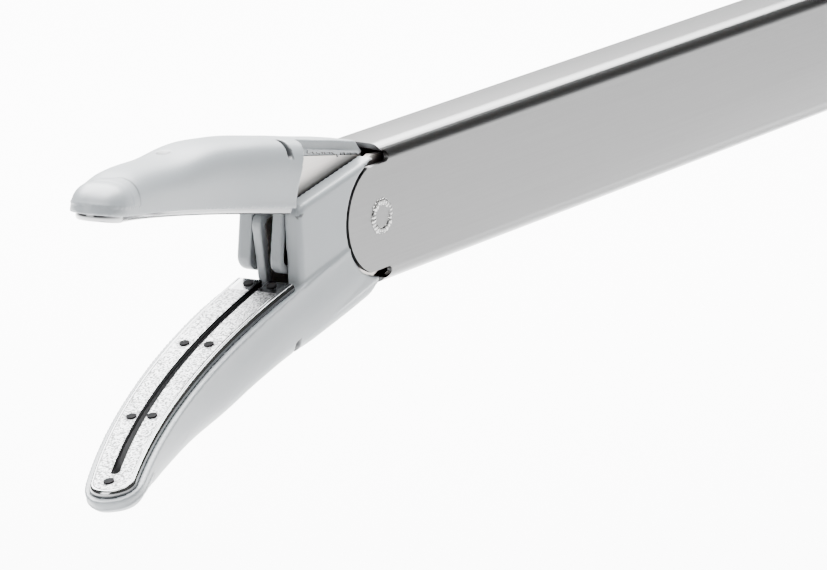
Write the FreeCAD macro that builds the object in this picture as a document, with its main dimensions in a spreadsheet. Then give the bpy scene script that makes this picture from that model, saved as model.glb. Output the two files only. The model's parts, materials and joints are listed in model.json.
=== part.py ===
"""Vessel sealer: a pistol-grip instrument with two curved jaws, a knife between them and a turning shaft.

Millimetres. +X runs from the handle to the jaw tips, +Z is up, +Y is the instrument's left side.
The origin is on the shaft's axis at the jaws' pivot. The jaws are stored open, as they are at rest.
"""

import FreeCAD, Part
import math
import os

import Sketcher

Vector = FreeCAD.Vector

os.makedirs("parts", exist_ok=True)
doc = FreeCAD.newDocument("vessel_sealer")
sheet = doc.addObject("Spreadsheet::Sheet", "Sizes")

# Driving sizes, millimetres and degrees.
SIZES = {
    # Shaft tube and its ears
    "tube_height": 12.0,
    "tube_width": 6.1,
    "tube_wall": 0.45,
    "tube_corner": 1.4,
    "tube_back": 168.0,
    "tube_front_gap": 0.6,
    "ear_radius": 4.83,
    "notch_width": 1.0,
    "notch_level": 5.0,
    "notch_reach": 0.8,
    # Jaw pivot
    "stud_radius": 1.07,
    "stud_spigot": 0.6,
    "weld_radius": 1.5,
    "weld_rise": 0.1,
    "pin_play": 0.04,
    # Jaw angle and centre line
    "lower_opening": 13.25,
    "upper_opening": 12.25,
    "straight_run": 11.16,
    "curve_radius": 76.65,
    # Flange stack across the jaws, from the middle outwards
    "inner_flange_in": 0.5,
    "inner_flange_out": 1.4,
    "outer_flange_in": 1.55,
    "outer_flange_out": 2.1,
    "cheek_out": 3.05,
    # Flange outline in side view
    "lower_fin_front": 12.3,
    "lower_fin_lean": 0.6,
    "lower_cheek_front": 12.1,
    "lower_cheek_lean": 1.35,
    "upper_fin_front": 12.3,
    "upper_fin_lean": 0.35,
    "upper_cheek_front": 12.3,
    "upper_cheek_lean": 0.35,
    "fin_coat": 0.75,
    "inner_fin_rise": 5.0,
    "lower_cheek_rise": 5.8,
    "upper_cheek_rise": 5.0,
    "cheek_round": 0.45,
    "fin_corner": 1.1,
    "tail_reach": 16.2,
    "tail_half": 1.6,
    "tail_belly": 3.8,
    "ear_gap": 0.3,
    "sweep_radius": 13.0,
    "web_level": 5.25,
    # Cam slot: where the pin is with the jaws open, and how far it is drawn
    "cam_open": 7.5,
    "cam_travel": 6.3,
    "cam_pin_radius": 0.8,
    # Seal plate
    "plate_base": 13.1,
    "plate_shoulder": 47.9,
    "plate_half_base": 2.9,
    "plate_half_tip": 1.85,
    "plate_gap": 0.06,
    "plate_sheet": 0.4,
    "plate_depth": 1.1,
    "plate_rim": 0.35,
    "slot_half": 0.45,
    "slot_end": 46.8,
    "slot_depth": 1.5,
    # Stop beads
    "bead_radius": 0.42,
    "bead_rise": 0.1,
    "bead_base_at": 13.9,
    "bead_base_off": 1.16,
    "bead_mid_at": 24.7,
    "bead_mid_off": 1.11,
    "bead_fore_at": 37.2,
    "bead_fore_off": 0.86,
    "bead_tip_at": 48.0,
    "bead_tip_off": -0.27,
    # Insulator and jaw spine
    "insulator_depth": 1.75,
    "insulator_end": 45.0,
    "spine_end": 38.0,
    "spine_half_base": 1.6,
    "spine_half_tip": 1.1,
    "spine_depth_base": 4.6,
    "spine_depth_tip": 2.6,
    # Jaw cover: stations along the centre line, back heights and half widths there
    "ledge_drop": 0.62,
    "cover_start": 1.5,
    "heel_at": 10.0,
    "belly_at": 17.0,
    "middle_at": 25.0,
    "fore_at": 33.0,
    "tip_at": 41.0,
    "nose_at": 46.6,
    "cover_end": 50.4,
    "start_half": 3.05,
    "heel_half": 3.3,
    "belly_half": 3.45,
    "middle_half": 3.2,
    "fore_half": 2.88,
    "tip_half": 2.62,
    "nose_half": 2.45,
    "upper_start_height": 6.23,
    "upper_heel_height": 6.2,
    "upper_belly_height": 6.15,
    "upper_middle_height": 5.7,
    "upper_fore_height": 4.45,
    "upper_tip_height": 3.85,
    "upper_nose_height": 3.1,
    "lower_start_height": 6.7,
    "lower_heel_height": 6.55,
    "lower_belly_height": 6.05,
    "lower_middle_height": 5.9,
    "lower_fore_height": 5.0,
    "lower_tip_height": 3.95,
    "lower_nose_height": 2.55,
    "cover_bow_heel": 4.2,
    "cover_bow_tip": 2.7,
    "back_notch_at": 14.2,
    "back_notch_half": 0.35,
    "back_notch_level": 4.7,
    # Drive sleeve and spool
    "sleeve_height": 10.4,
    "sleeve_width": 5.0,
    "sleeve_wall": 0.35,
    "sleeve_front": 18.5,
    "sleeve_arm_half": 2.6,
    "sleeve_arm_front": 5.6,
    "sleeve_back": 184.0,
    "spool_at": 176.0,
    "spool_radius": 8.0,
    "spool_groove_radius": 6.4,
    "spool_half": 3.5,
    "spool_groove_half": 1.8,
    # Knife
    "knife_travel": 34.5,
    "blade_back": 6.0,
    "blade_front": 11.3,
    "blade_half": 0.15,
    "blade_rise": 1.25,
    "strip_back": 66.0,
    "strip_half": 0.15,
    "strip_rise": 1.1,
    "knife_rod_radius": 1.2,
    "knife_rod_back": 231.0,
    "knife_collar_radius": 2.6,
    "guide_front": 4.4,
    "guide_back": 30.0,
    "guide_half": 0.46,
    "guide_slot_half": 0.22,
    "guide_rise": 3.2,
    "guide_block_half": 1.95,
    "guide_block_front": 19.5,
    "lead_radius": 0.5,
    "lead_level": 3.7,
    # Rotation knob
    "knob_front": 137.0,
    "knob_back": 161.0,
    "knob_radius": 14.0,
    "knob_nose_radius": 8.6,
    "knob_flute_radius": 3.0,
    "knob_flutes": 10,
    "knob_hub_radius": 9.0,
    "knob_hub_back": 169.0,
    "bearing_radius": 11.0,
    "bearing_front": 162.5,
    "bearing_back": 168.0,
    # Housing
    "housing_front": 162.0,
    "housing_back": 291.0,
    "housing_top": 23.0,
    "housing_floor": 32.0,
    "housing_half": 16.0,
    "housing_wall": 2.4,
    "grip_front": 254.0,
    "grip_back": 288.0,
    "grip_toe_front": 272.0,
    "grip_toe_back": 302.0,
    "grip_toe": 102.0,
    "seam_gap": 0.1,
    # Lever
    "lever_pivot_back": 200.0,
    "lever_pivot_up": 14.4,
    "lever_pin_radius": 2.5,
    "lever_half": 7.5,
    "lever_arm_in": 4.5,
    "lever_toe": 92.0,
    "lever_boss_radius": 5.5,
    "lever_stud_radius": 2.0,
    # Drive carriage
    "rail_in": 8.5,
    "rail_out": 10.5,
    "rail_half": 3.2,
    "carriage_back": 212.0,
    # Knife trigger, gear and slider
    "tooth_module": 1.0,
    "small_teeth": 12,
    "gear_ratio": 2,
    "gear_back": 245.0,
    "gear_axle_radius": 2.0,
    "big_gear_half": 1.8,
    "small_gear_width": 3.0,
    "small_gear_gap": 1.6,
    "tooth_backlash": 0.12,
    "slider_rack_level": 3.0,
    "slider_half": 1.8,
    "slider_top": 2.5,
    "slider_front": 233.0,
    "trigger_back": 177.0,
    "trigger_front": 170.0,
    "trigger_toe": 54.0,
    "trigger_half": 5.0,
    # Springs
    "spring_wire": 0.5,
    "drive_spring_radius": 5.7,
    "drive_spring_back": 224.0,
    "rib_half": 1.0,
    "rib_bore": 5.0,
    # Button, switch and gland
    "button_radius": 5.0,
    "button_level": 4.0,
    "button_stand": 2.0,
    "gland_radius": 5.5,
    "gland_bore": 3.2,
}

for row, (name, amount) in enumerate(SIZES.items(), 1):
    cell = f"B{row}"
    sheet.set(f"A{row}", name)
    sheet.set(cell, str(amount))
    sheet.setAlias(cell, name)
doc.recompute()


def size(name):
    """A driving size, as the sheet holds it."""
    return float(sheet.get(name))


def worth(words):
    """What an expression of the sheet's names comes to."""
    found = sheet.evalExpression(words)
    return float(getattr(found, "Value", found))


NODES = []


def node(thing, name):
    """Name a finished sub-part; its name is its file's name."""
    thing.Label = name
    NODES.append(thing)
    return thing


# Sketch and feature helpers


def new_body(name):
    return doc.addObject("PartDesign::Body", name)


def new_sketch(body, name, role, offset):
    """An empty sketch on one of the body's own origin planes, moved along the plane's normal."""
    sketch = body.newObject("Sketcher::SketchObject", name)
    plane = next(f for f in body.Origin.OriginFeatures if f.Role == role)
    sketch.AttachmentSupport = [(plane, "")]
    sketch.MapMode = "FlatFace"
    sketch.setExpression("AttachmentOffset.Base.z", offset)
    return sketch


def fix(sketch, kind, item, spot, words):
    """Bind one coordinate or radius of a sketch to words of the sheet."""
    if kind == "Radius":
        rule = Sketcher.Constraint(kind, item, worth(words))
    else:
        rule = Sketcher.Constraint(kind, -1, 1, item, spot, worth(words))
    sketch.setExpression(f"Constraints[{sketch.addConstraint(rule)}]", words)


def bulged(start, end, radius, side):
    """The shorter arc between two points, bulging to the left (1) or right (-1) of the way from start to end."""
    along = (end - start).normalize()
    left = Vector(-along.y, along.x, 0)
    half = start.distanceToPoint(end) / 2
    rise = radius - math.sqrt(max(radius * radius - half * half, 0))
    return Part.Arc(start, (start + end) * 0.5 + left * side * rise, end)


def outline(sketch, points, arcs=None):
    """A closed outline. Each corner's two coordinates, and an arc's radius, are words of the sheet."""
    arcs = arcs or {}
    spots = [Vector(worth(across), worth(up), 0) for across, up in points]
    first = sketch.GeometryCount
    ends = []
    for i, spot in enumerate(spots):
        after = spots[(i + 1) % len(spots)]
        if i in arcs:
            radius, side = arcs[i]
            piece = sketch.addGeometry(bulged(spot, after, worth(radius), side))
        else:
            piece = sketch.addGeometry(Part.LineSegment(spot, after))
        forward = sketch.getPoint(piece, 1).distanceToPoint(spot) < sketch.getPoint(piece, 2).distanceToPoint(spot)
        ends.append((1, 2) if forward else (2, 1))
    for i in range(len(spots)):
        after = (i + 1) % len(spots)
        sketch.addConstraint(Sketcher.Constraint("Coincident", first + i, ends[i][1], first + after, ends[after][0]))
    for i, (across, up) in enumerate(points):
        fix(sketch, "DistanceX", first + i, ends[i][0], across)
        fix(sketch, "DistanceY", first + i, ends[i][0], up)
        if i in arcs:
            fix(sketch, "Radius", first + i, 0, arcs[i][0])


def circle(sketch, across, up, radius):
    """A circle whose centre and radius are words of the sheet."""
    centre = Vector(worth(across), worth(up), 0)
    item = sketch.addGeometry(Part.Circle(centre, Vector(0, 0, 1), worth(radius)))
    fix(sketch, "DistanceX", item, 3, across)
    fix(sketch, "DistanceY", item, 3, up)
    fix(sketch, "Radius", item, 0, radius)


def draw(sketch, shapes):
    for shape in shapes:
        if isinstance(shape[0], str):
            circle(sketch, *shape)
        elif isinstance(shape[-1], dict):
            outline(sketch, shape[:-1], shape[-1])
        else:
            outline(sketch, shape)


def pad(body, name, role, low, high, *shapes):
    """Fill outlines between two levels of the plane's world axis."""
    offset = f"-({high})" if role == "XZ_Plane" else low
    sketch = new_sketch(body, name + "Sketch", role, offset)
    draw(sketch, shapes)
    feature = body.newObject("PartDesign::Pad", name)
    feature.Profile = sketch
    feature.setExpression("Length", f"({high}) - ({low})")
    doc.recompute()
    return feature


def pocket(body, name, role, low, high, *shapes):
    """Cut outlines between two levels of the plane's world axis, and see that something went."""
    before = body.Shape.Volume
    offset = f"-({low})" if role == "XZ_Plane" else high
    sketch = new_sketch(body, name + "Sketch", role, offset)
    draw(sketch, shapes)
    feature = body.newObject("PartDesign::Pocket", name)
    feature.Profile = sketch
    feature.setExpression("Length", f"({high}) - ({low})")
    doc.recompute()
    if not body.Shape.Volume < before:
        raise ValueError(f"{name} cuts nothing")
    return feature


def revolve(body, name, role, *shapes):
    """Turn outlines about the sketch's own first axis."""
    sketch = new_sketch(body, name + "Sketch", role, "0")
    draw(sketch, shapes)
    feature = body.newObject("PartDesign::Revolution", name)
    feature.Profile = sketch
    feature.ReferenceAxis = (sketch, ["H_Axis"])
    feature.Angle = 360
    doc.recompute()
    return feature


def fillet(body, name, radius, wanted):
    """Round the edges of the body so far that wanted picks."""
    doc.recompute()
    base = body.Tip
    names = [f"Edge{i}" for i, edge in enumerate(base.Shape.Edges, 1) if wanted(edge)]
    feature = body.newObject("PartDesign::Fillet", name)
    feature.Base = (base, names)
    feature.setExpression("Radius", radius)
    doc.recompute()
    return feature


def runs_along(edge, axis):
    """Whether a straight edge runs along a world axis."""
    if edge.Curve.TypeId != "Part::GeomLine":
        return False
    way = edge.valueAt(edge.LastParameter) - edge.valueAt(edge.FirstParameter)
    return way.cross(axis).Length < 1e-6 * way.Length


def lies_flat(edge, axis):
    """Whether an edge stays at one level of a world axis."""
    spots = [edge.valueAt(edge.FirstParameter + share * (edge.LastParameter - edge.FirstParameter))
             for share in (0.0, 0.4, 1.0)]
    levels = [spot.dot(axis) for spot in spots]
    return max(levels) - min(levels) < 1e-6


def box_outline(half_across, half_up, across="0", up="0"):
    """A rectangle about a centre."""
    return [
        (f"{across} - ({half_across})", f"{up} - ({half_up})"),
        (f"{across} + {half_across}", f"{up} - ({half_up})"),
        (f"{across} + {half_across}", f"{up} + {half_up}"),
        (f"{across} - ({half_across})", f"{up} + {half_up}"),
    ]


def move(thing, across="0", side="0", up="0"):
    thing.setExpression("Placement.Base.x", across)
    thing.setExpression("Placement.Base.y", side)
    thing.setExpression("Placement.Base.z", up)
    return thing


def made(name, shape):
    """A sub-part whose curved shape is worked out from the sheet's sizes."""
    thing = doc.addObject("Part::Feature", name)
    thing.Shape = shape
    return thing


X_AXIS, Y_AXIS, Z_AXIS = Vector(1, 0, 0), Vector(0, 1, 0), Vector(0, 0, 1)

# Shaft tube: drawn rectangular tube whose side walls end in round ears at the jaw pivot
tube = new_body("ShaftTube")
pad(tube, "TubeOutside", "YZ_Plane", "-Sizes.tube_back", "Sizes.ear_radius + 1",
    box_outline("Sizes.tube_width / 2", "Sizes.tube_height / 2"))
fillet(tube, "TubeCorners", "Sizes.tube_corner", lambda e: runs_along(e, X_AXIS))
pocket(tube, "TubeInside", "YZ_Plane", "-Sizes.tube_back - 1", "Sizes.ear_radius + 2",
       box_outline("Sizes.tube_width / 2 - Sizes.tube_wall", "Sizes.tube_height / 2 - Sizes.tube_wall"))
inner_up = worth("Sizes.tube_height / 2 - Sizes.tube_wall")
inner_side = worth("Sizes.tube_width / 2 - Sizes.tube_wall")
fillet(tube, "TubeInnerCorners", "Sizes.tube_corner - Sizes.tube_wall",
       lambda e: runs_along(e, X_AXIS)
       and abs(abs(e.CenterOfMass.z) - inner_up) < 1e-6 and abs(abs(e.CenterOfMass.y) - inner_side) < 1e-6)
ear_x = "Sizes.ear_radius * cos(80)"
ear_z = "Sizes.ear_radius * sin(80)"
over = "Sizes.tube_height / 2 + 1"
pocket(tube, "EarOutline", "XZ_Plane", "-Sizes.tube_width", "Sizes.tube_width",
       [(ear_x, ear_z), (ear_x, f"-{ear_z}"), ("-Sizes.tube_front_gap", f"-{ear_z}"),
        ("-Sizes.tube_front_gap", f"-({over})"), ("Sizes.ear_radius + 3", f"-({over})"),
        ("Sizes.ear_radius + 3", over), ("-Sizes.tube_front_gap", over), ("-Sizes.tube_front_gap", ear_z),
        {0: ("Sizes.ear_radius", 1)}])
notch_low = "Sizes.notch_level - Sizes.notch_width / 2"
notch_high = "Sizes.notch_level + Sizes.notch_width / 2"
for sign, side in (("", "Upper"), ("-", "Lower")):
    pocket(tube, side + "Notches", "XZ_Plane", "-Sizes.tube_width", "Sizes.tube_width",
           [("-Sizes.notch_reach", f"{sign}({notch_low})"), ("3", f"{sign}({notch_low})"),
            ("3", f"{sign}({notch_high})"), ("-Sizes.notch_reach", f"{sign}({notch_high})")])
    pocket(tube, side + "NotchEnds", "XZ_Plane", "-Sizes.tube_width", "Sizes.tube_width",
           ("-Sizes.notch_reach", f"{sign}Sizes.notch_level", "Sizes.notch_width / 2"))
pocket(tube, "StudHoles", "XZ_Plane", "-Sizes.tube_width", "Sizes.tube_width", ("0", "0", "Sizes.stud_radius"))
node(tube, "shaft_tube")

# Pivot studs: each is welded into an ear, leaves the middle free for the knife, and holds the knife guide
face = "Sizes.tube_width / 2"
stud = new_body("NearStud")
revolve(stud, "StudTurning", "YZ_Plane",
        [("Sizes.guide_slot_half + 0.03", "0"), ("Sizes.guide_slot_half + 0.03", "Sizes.stud_spigot"),
         ("Sizes.inner_flange_in + 0.02", "Sizes.stud_spigot"), ("Sizes.inner_flange_in + 0.02", "Sizes.stud_radius"),
         (face, "Sizes.stud_radius"), (face, "Sizes.weld_radius"),
         (f"{face} + Sizes.weld_rise", "Sizes.weld_radius - Sizes.weld_rise"),
         (f"{face} + Sizes.weld_rise", "Sizes.stud_radius"),
         (f"{face} + Sizes.weld_rise / 4", "Sizes.stud_radius - Sizes.weld_rise"),
         (f"{face} + Sizes.weld_rise / 4", "0")])
far_stud = doc.addObject("Part::Mirroring", "FarStud")
far_stud.Source = stud
far_stud.Normal = Y_AXIS
studs = doc.addObject("Part::Compound", "PivotStuds")
studs.Links = [stud, far_stud]
node(studs, "pivot_studs")


# Jaws. Each is worked out closed, as the lower jaw: its back is below, its outer flange is on +Y.
# The upper jaw is the same half turned about X, so its centre line is bent the other way first.


def place(run, off, up, bend):
    """A point at a run along the jaw's centre line, off to its left, at a height."""
    straight, radius = size("straight_run"), size("curve_radius")
    if run <= straight:
        return Vector(run, off, up)
    turn = (run - straight) / radius
    reach = radius - off * bend
    return Vector(straight + reach * math.sin(turn), bend * (radius - reach * math.cos(turn)), up)


def slab(edges, low, high):
    """A solid with a flat outline, between two heights. The outline is drawn at height 0."""
    solid = Part.Face(Part.Wire(edges)).extrude(Vector(0, 0, high - low))
    solid.translate(Vector(0, 0, low))
    return solid


def band(start, end, half_start, half_end, low, high, bend, nose=0.0):
    """A slab that follows the centre line between two runs; its sides are arcs and its nose may be round."""
    middle, half_middle = (start + end) / 2, (half_start + half_end) / 2
    left = [place(start, half_start, 0, bend), place(middle, half_middle, 0, bend), place(end, half_end, 0, bend)]
    right = [place(end, -half_end, 0, bend), place(middle, -half_middle, 0, bend), place(start, -half_start, 0, bend)]
    edges = [Part.Arc(*left).toShape()]
    if nose:
        edges.append(Part.Arc(left[-1], place(end + nose, 0, 0, bend), right[0]).toShape())
    else:
        edges.append(Part.LineSegment(left[-1], right[0]).toShape())
    edges.append(Part.Arc(*right).toShape())
    edges.append(Part.LineSegment(right[-1], left[0]).toShape())
    return slab(edges, low, high)


def side_plate(points, low, high):
    """A plate between two levels across the jaws, with its outline in side view."""
    corners = [Vector(x, low, z) for x, z in points]
    return Part.Face(Part.makePolygon(corners + corners[:1])).extrude(Vector(0, high - low, 0))


def corner_rounded(solid, x, z, radius):
    """Round the plate's corner at a place in side view."""
    edges = [e for e in solid.Edges if runs_along(e, Y_AXIS)
             and abs(e.CenterOfMass.x - x) < 1e-6 and abs(e.CenterOfMass.z - z) < 1e-6]
    return solid.makeFillet(radius, edges)


def cross_rod(radius, low, high, x=0.0, z=0.0):
    """A round solid across the jaws."""
    return Part.makeCylinder(radius, high - low, Vector(x, low, z), Y_AXIS)


def cam_slot(name, radius, low, high):
    """The slot that turns the jaw evenly while its pin is drawn straight back: three points of its spiral."""
    spots = []
    for share in (0.0, 0.5, 1.0):
        back = size("cam_open") + share * size("cam_travel")
        angle = math.radians(size(f"{name}_opening")) * (1 - share)
        spots.append(Vector(-back * math.cos(angle), 0, -back * math.sin(angle)))
    path = Part.Arc(*spots).toShape().Curve
    away = [(spot - path.Center).normalize() * radius for spot in spots]
    outside = [spot + push for spot, push in zip(spots, away)]
    inside = [spot - push for spot, push in zip(spots, away)]
    ahead = (spots[0] - spots[1]).normalize() * radius
    behind = (spots[2] - spots[1]).normalize() * radius
    edges = [
        Part.Arc(*outside).toShape(),
        Part.Arc(outside[2], spots[2] + behind, inside[2]).toShape(),
        Part.Arc(*reversed(inside)).toShape(),
        Part.Arc(inside[0], spots[0] + ahead, outside[0]).toShape(),
    ]
    slot = Part.Face(Part.Wire(edges)).extrude(Vector(0, high - low, 0))
    slot.translate(Vector(0, low, 0))
    return slot


SPAN = 8.0


def flange_outline(name, part):
    """A flange in side view: tail with the cam slot behind the pivot, fin in front of it."""
    front = size(f"{name}_{part}_front") - size("fin_coat")
    top = size("inner_fin_rise") - size("fin_coat")
    deep, base = size("insulator_depth"), size("plate_base")
    corner = (front - size(f"{name}_{part}_lean"), top)
    return corner, [
        (-size("tail_reach"), size("tail_half")),
        (-size("tail_reach"), -size("tail_half")),
        (-7.0, -size("tail_belly")),
        (-2.0, -4.6),
        (1.5, -5.0),
        (base + 2.4, -size("spine_depth_base")),
        (base + 2.4, -deep),
        (base, -deep),
        (front, -1.2),
        corner,
        (-1.3, 5.0),
        (-4.5, 4.0),
    ]


def jaw_frame(name, bend):
    """Inner and outer flange with their cam slots, joined in front by a spine under the seal plate."""
    deep, base = size("insulator_depth"), size("plate_base")
    plates = []
    for part, low, high in (("fin", -size("inner_flange_out"), -size("inner_flange_in")),
                            ("cheek", size("outer_flange_in"), size("outer_flange_out"))):
        corner, outside = flange_outline(name, part)
        plates.append(corner_rounded(side_plate(outside, low, high), *corner, size("fin_corner") / 2))
    spine = band(base, size("spine_end"), size("spine_half_base"), size("spine_half_tip"),
                 -size("spine_depth_base"), -deep, bend)
    under = side_plate([(base + 2.4, -size("spine_depth_base")), (size("spine_end") + 2, -size("spine_depth_tip")),
                        (size("spine_end") + 2, -9.0), (base + 2.4, -9.0)], -SPAN, 3 * SPAN)
    spine = spine.cut(under if bend > 0 else under.mirror(Vector(0, 0, 0), Y_AXIS))
    bridge = Part.makeBox(2.4, size("outer_flange_out") + size("inner_flange_out"),
                          size("spine_depth_base") - deep,
                          Vector(base, -size("inner_flange_out"), -size("spine_depth_base")))
    frame = plates[0].fuse([plates[1], spine, bridge]).removeSplitter()
    holes = cross_rod(size("stud_radius") + size("pin_play"), -SPAN, SPAN)
    return frame.cut([holes, cam_slot(name, size("cam_pin_radius") + size("pin_play"), -SPAN, SPAN)])


def plate_band(inset, low, high, bend):
    """The seal plate's outline, drawn in by an inset, between two heights."""
    half_tip = size("plate_half_tip") - inset
    return band(size("plate_base"), size("plate_shoulder"), size("plate_half_base") - inset, half_tip,
                low, high, bend, nose=half_tip)


def knife_slot(low, high, bend, play=0.0):
    half = size("slot_half") - play
    return band(size("plate_base") - 1, size("slot_end") - half, half, half, low, high, bend, nose=half)


def bead_spots():
    """Run and offset of the seven stop beads."""
    spots = [(size("bead_tip_at"), size("bead_tip_off"))]
    for row in ("base", "mid", "fore"):
        for side in (1, -1):
            spots.append((size(f"bead_{row}_at"), side * size(f"bead_{row}_off")))
    return spots


def beads(bend):
    face_level = -size("plate_gap")
    foot = face_level - size("plate_sheet")
    height = face_level + size("bead_rise") - foot
    return [Part.makeCylinder(size("bead_radius"), height, place(run, off, foot, bend), Z_AXIS)
            for run, off in bead_spots()]


def seal_plate(bend, beaded):
    """A formed shell: flat face, rolled rim, knife slot."""
    top = -size("plate_gap")
    plate = plate_band(0.0, top - size("plate_depth"), top, bend)
    rim = [e for e in plate.Edges if abs(e.CenterOfMass.z - top) < 1e-6
           and e.CenterOfMass.x > size("plate_base") + 0.5]
    plate = plate.makeFillet(size("plate_rim"), rim)
    hollow = plate_band(size("plate_rim"), top - size("plate_depth") - 1, top - size("plate_sheet"), bend)
    tools = [hollow, knife_slot(top - 2, top + 1, bend)]
    if beaded:
        tools += beads(bend)
    return plate.cut(tools)


def insulator(bend):
    """The moulded carrier: it fills the plate's shell and stands on the spine."""
    top = -size("plate_gap") - size("plate_sheet")
    rim_foot = -size("plate_gap") - size("plate_depth")
    wall = size("plate_rim")
    upper = plate_band(wall, rim_foot, top, bend)
    share = (size("insulator_end") - size("plate_base")) / (size("plate_shoulder") - size("plate_base"))
    half_end = size("plate_half_base") * (1 - share) + size("plate_half_tip") * share
    lower = band(size("plate_base"), size("insulator_end"), size("plate_half_base") - 0.3, half_end - 0.3,
                 -size("insulator_depth"), rim_foot, bend)
    back = knife_slot(-size("slot_depth"), 1.0, bend)
    return upper.fuse(lower).removeSplitter().cut(back)


def eased(stops, run):
    """A value at a run between stations: cubic pieces whose slopes keep the curve from overshooting."""
    runs, values = zip(*stops)
    rates = [(after - before) / (far - near)
             for near, far, before, after in zip(runs, runs[1:], values, values[1:])]
    slopes = [rates[0]]
    for rate, following in zip(rates, rates[1:]):
        slopes.append(2 * rate * following / (rate + following) if rate * following > 0 else 0.0)
    slopes.append(rates[-1])
    i = max(k for k in range(len(runs) - 1) if runs[k] <= run or k == 0)
    length = runs[i + 1] - runs[i]
    share = (run - runs[i]) / length
    rest = 1 - share
    return (values[i] * rest * rest * (1 + 2 * share) + values[i + 1] * share * share * (1 + 2 * rest)
            + length * share * rest * (slopes[i] * rest - slopes[i + 1] * share))


def section(run, half, height, bow, bend):
    """The cover's back across the jaw: half a superellipse under a flat ledge."""
    ledge, count = size("ledge_drop"), 12
    spots = []
    for i in range(count + 1):
        turn = math.pi * i / count
        across = math.copysign(abs(math.cos(turn)) ** (2 / bow), math.cos(turn))
        down = abs(math.sin(turn)) ** (2 / bow)
        spots.append(place(run, half * across, -ledge - (height - ledge) * down, bend))
    curve = Part.BSplineCurve()
    curve.interpolate(spots)
    return Part.Wire([curve.toShape(), Part.LineSegment(spots[-1], spots[0]).toShape()])


def cover_back(name, bend):
    """The whole rounded back, from behind the pivot's front to the round nose."""
    stops = (("start", "cover_start"), ("heel", "heel_at"), ("belly", "belly_at"), ("middle", "middle_at"),
             ("fore", "fore_at"), ("tip", "tip_at"), ("nose", "nose_at"))
    halves = [(size(at), size(f"{stop}_half")) for stop, at in stops]
    heights = [(size(at), size(f"{name}_{stop}_height")) for stop, at in stops]
    bows = [(size("belly_at"), size("cover_bow_heel")), (size("tip_at"), size("cover_bow_tip"))]
    start, end, steps = size("cover_start"), size("nose_at"), 15
    sections = []
    for i in range(steps + 1):
        run = start + (end - start) * i / steps
        bow = eased(bows, min(max(run, bows[0][0]), bows[1][0]))
        sections.append(section(run, eased(halves, run), eased(heights, run), bow, bend))
    nose, ledge, bow = size("cover_end") - end, size("ledge_drop"), size("cover_bow_tip")
    for angle in (20, 40, 57, 72, 84):
        turn = math.radians(angle)
        fade = math.cos(turn) ** 0.8
        height = ledge + (heights[-1][1] - ledge) * fade
        sections.append(section(end + nose * math.sin(turn), halves[-1][1] * fade, height, bow, bend))
    return Part.makeLoft(sections, True, False)


def jaw_cover(name, bend, inside):
    """The moulded cover: rounded back, cheek over the outer flange and coats on the fins' front edges."""
    sweep, web, skin = size("sweep_radius"), size("web_level"), 0.1
    fin_in, fin_out = size("outer_flange_in"), size("cheek_out")
    front, rise = size(f"{name}_cheek_front"), size(f"{name}_cheek_rise")
    top = front - size(f"{name}_cheek_lean")
    inner_out = size("inner_flange_out")
    back = cover_back(name, bend)
    beyond = cross_rod(sweep, -3 * SPAN, -inner_out - skin)
    between = cross_rod(sweep, -inner_out - skin, fin_in).common(
        Part.makeBox(4 * SPAN, 4 * SPAN, 4 * SPAN, Vector(-2 * SPAN, -2 * SPAN, -web)))
    back = back.cut([beyond, between])
    cheek = side_plate([(-0.3, 5.33), (top, rise), (front, -0.65), (sweep + 0.6, -0.65), (sweep + 0.6, -5.0),
                        (2.0, -5.0), (1.0, 2.0), (-0.3, 5.0)], fin_in, fin_out)
    cheek = corner_rounded(cheek, top, rise, 1.2)
    rim = [e for e in cheek.Edges if lies_flat(e, Y_AXIS) and e.valueAt(e.FirstParameter).y > fin_out - 1e-6
           and e.CenterOfMass.z > 1.0 and e.CenterOfMass.x > 2.0]
    cheek = cheek.makeFillet(size("cheek_round"), rim)
    front, rise = size(f"{name}_fin_front"), size("inner_fin_rise")
    top = front - size(f"{name}_fin_lean")
    fin = side_plate([(8.6, rise), (top, rise), (front, -0.9),
                      (sweep + 0.6, -1.2), (sweep + 0.6, -size("insulator_depth")), (8.6, -size("insulator_depth"))],
                     -inner_out, -size("inner_flange_in"))
    fin = corner_rounded(fin, top, rise, size("fin_corner"))
    seat = side_plate([(1.5, -4.6), (sweep, -4.6), (sweep, -web - 0.2), (1.5, -web - 0.2)],
                      -inner_out, -size("inner_flange_in"))
    cover = back.fuse([cheek, fin, seat])
    ear = cross_rod(size("ear_radius") + size("ear_gap"), -SPAN, SPAN)
    heel = side_plate([(-2.0, -5.0), (1.5, -5.2), (3.2, -6.6), (3.2, -9.0), (-2.0, -9.0)], -SPAN, SPAN)
    notch_at, notch_half = size("back_notch_at"), size("back_notch_half")
    notch = Part.makeBox(2 * notch_half, SPAN, SPAN,
                         Vector(notch_at - notch_half, size("belly_half") / 2, -size("back_notch_level") - SPAN))
    if bend < 0:
        notch = notch.mirror(Vector(0, 0, 0), Y_AXIS)
    slot = knife_slot(-size("slot_depth"), 1.0, bend)
    return cover.cut([ear, heel, notch, slot] + inside)


def jaw_turn(name):
    """Where a jaw stands: the lower one swung down, the upper one half turned and swung up."""
    opening = size(f"{name}_opening")
    if name == "lower":
        return FreeCAD.Placement(Vector(0, 0, 0), FreeCAD.Rotation(Y_AXIS, opening))
    return FreeCAD.Placement(Vector(0, 0, 0),
                             FreeCAD.Rotation(Y_AXIS, -opening).multiply(FreeCAD.Rotation(X_AXIS, 180)))


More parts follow.
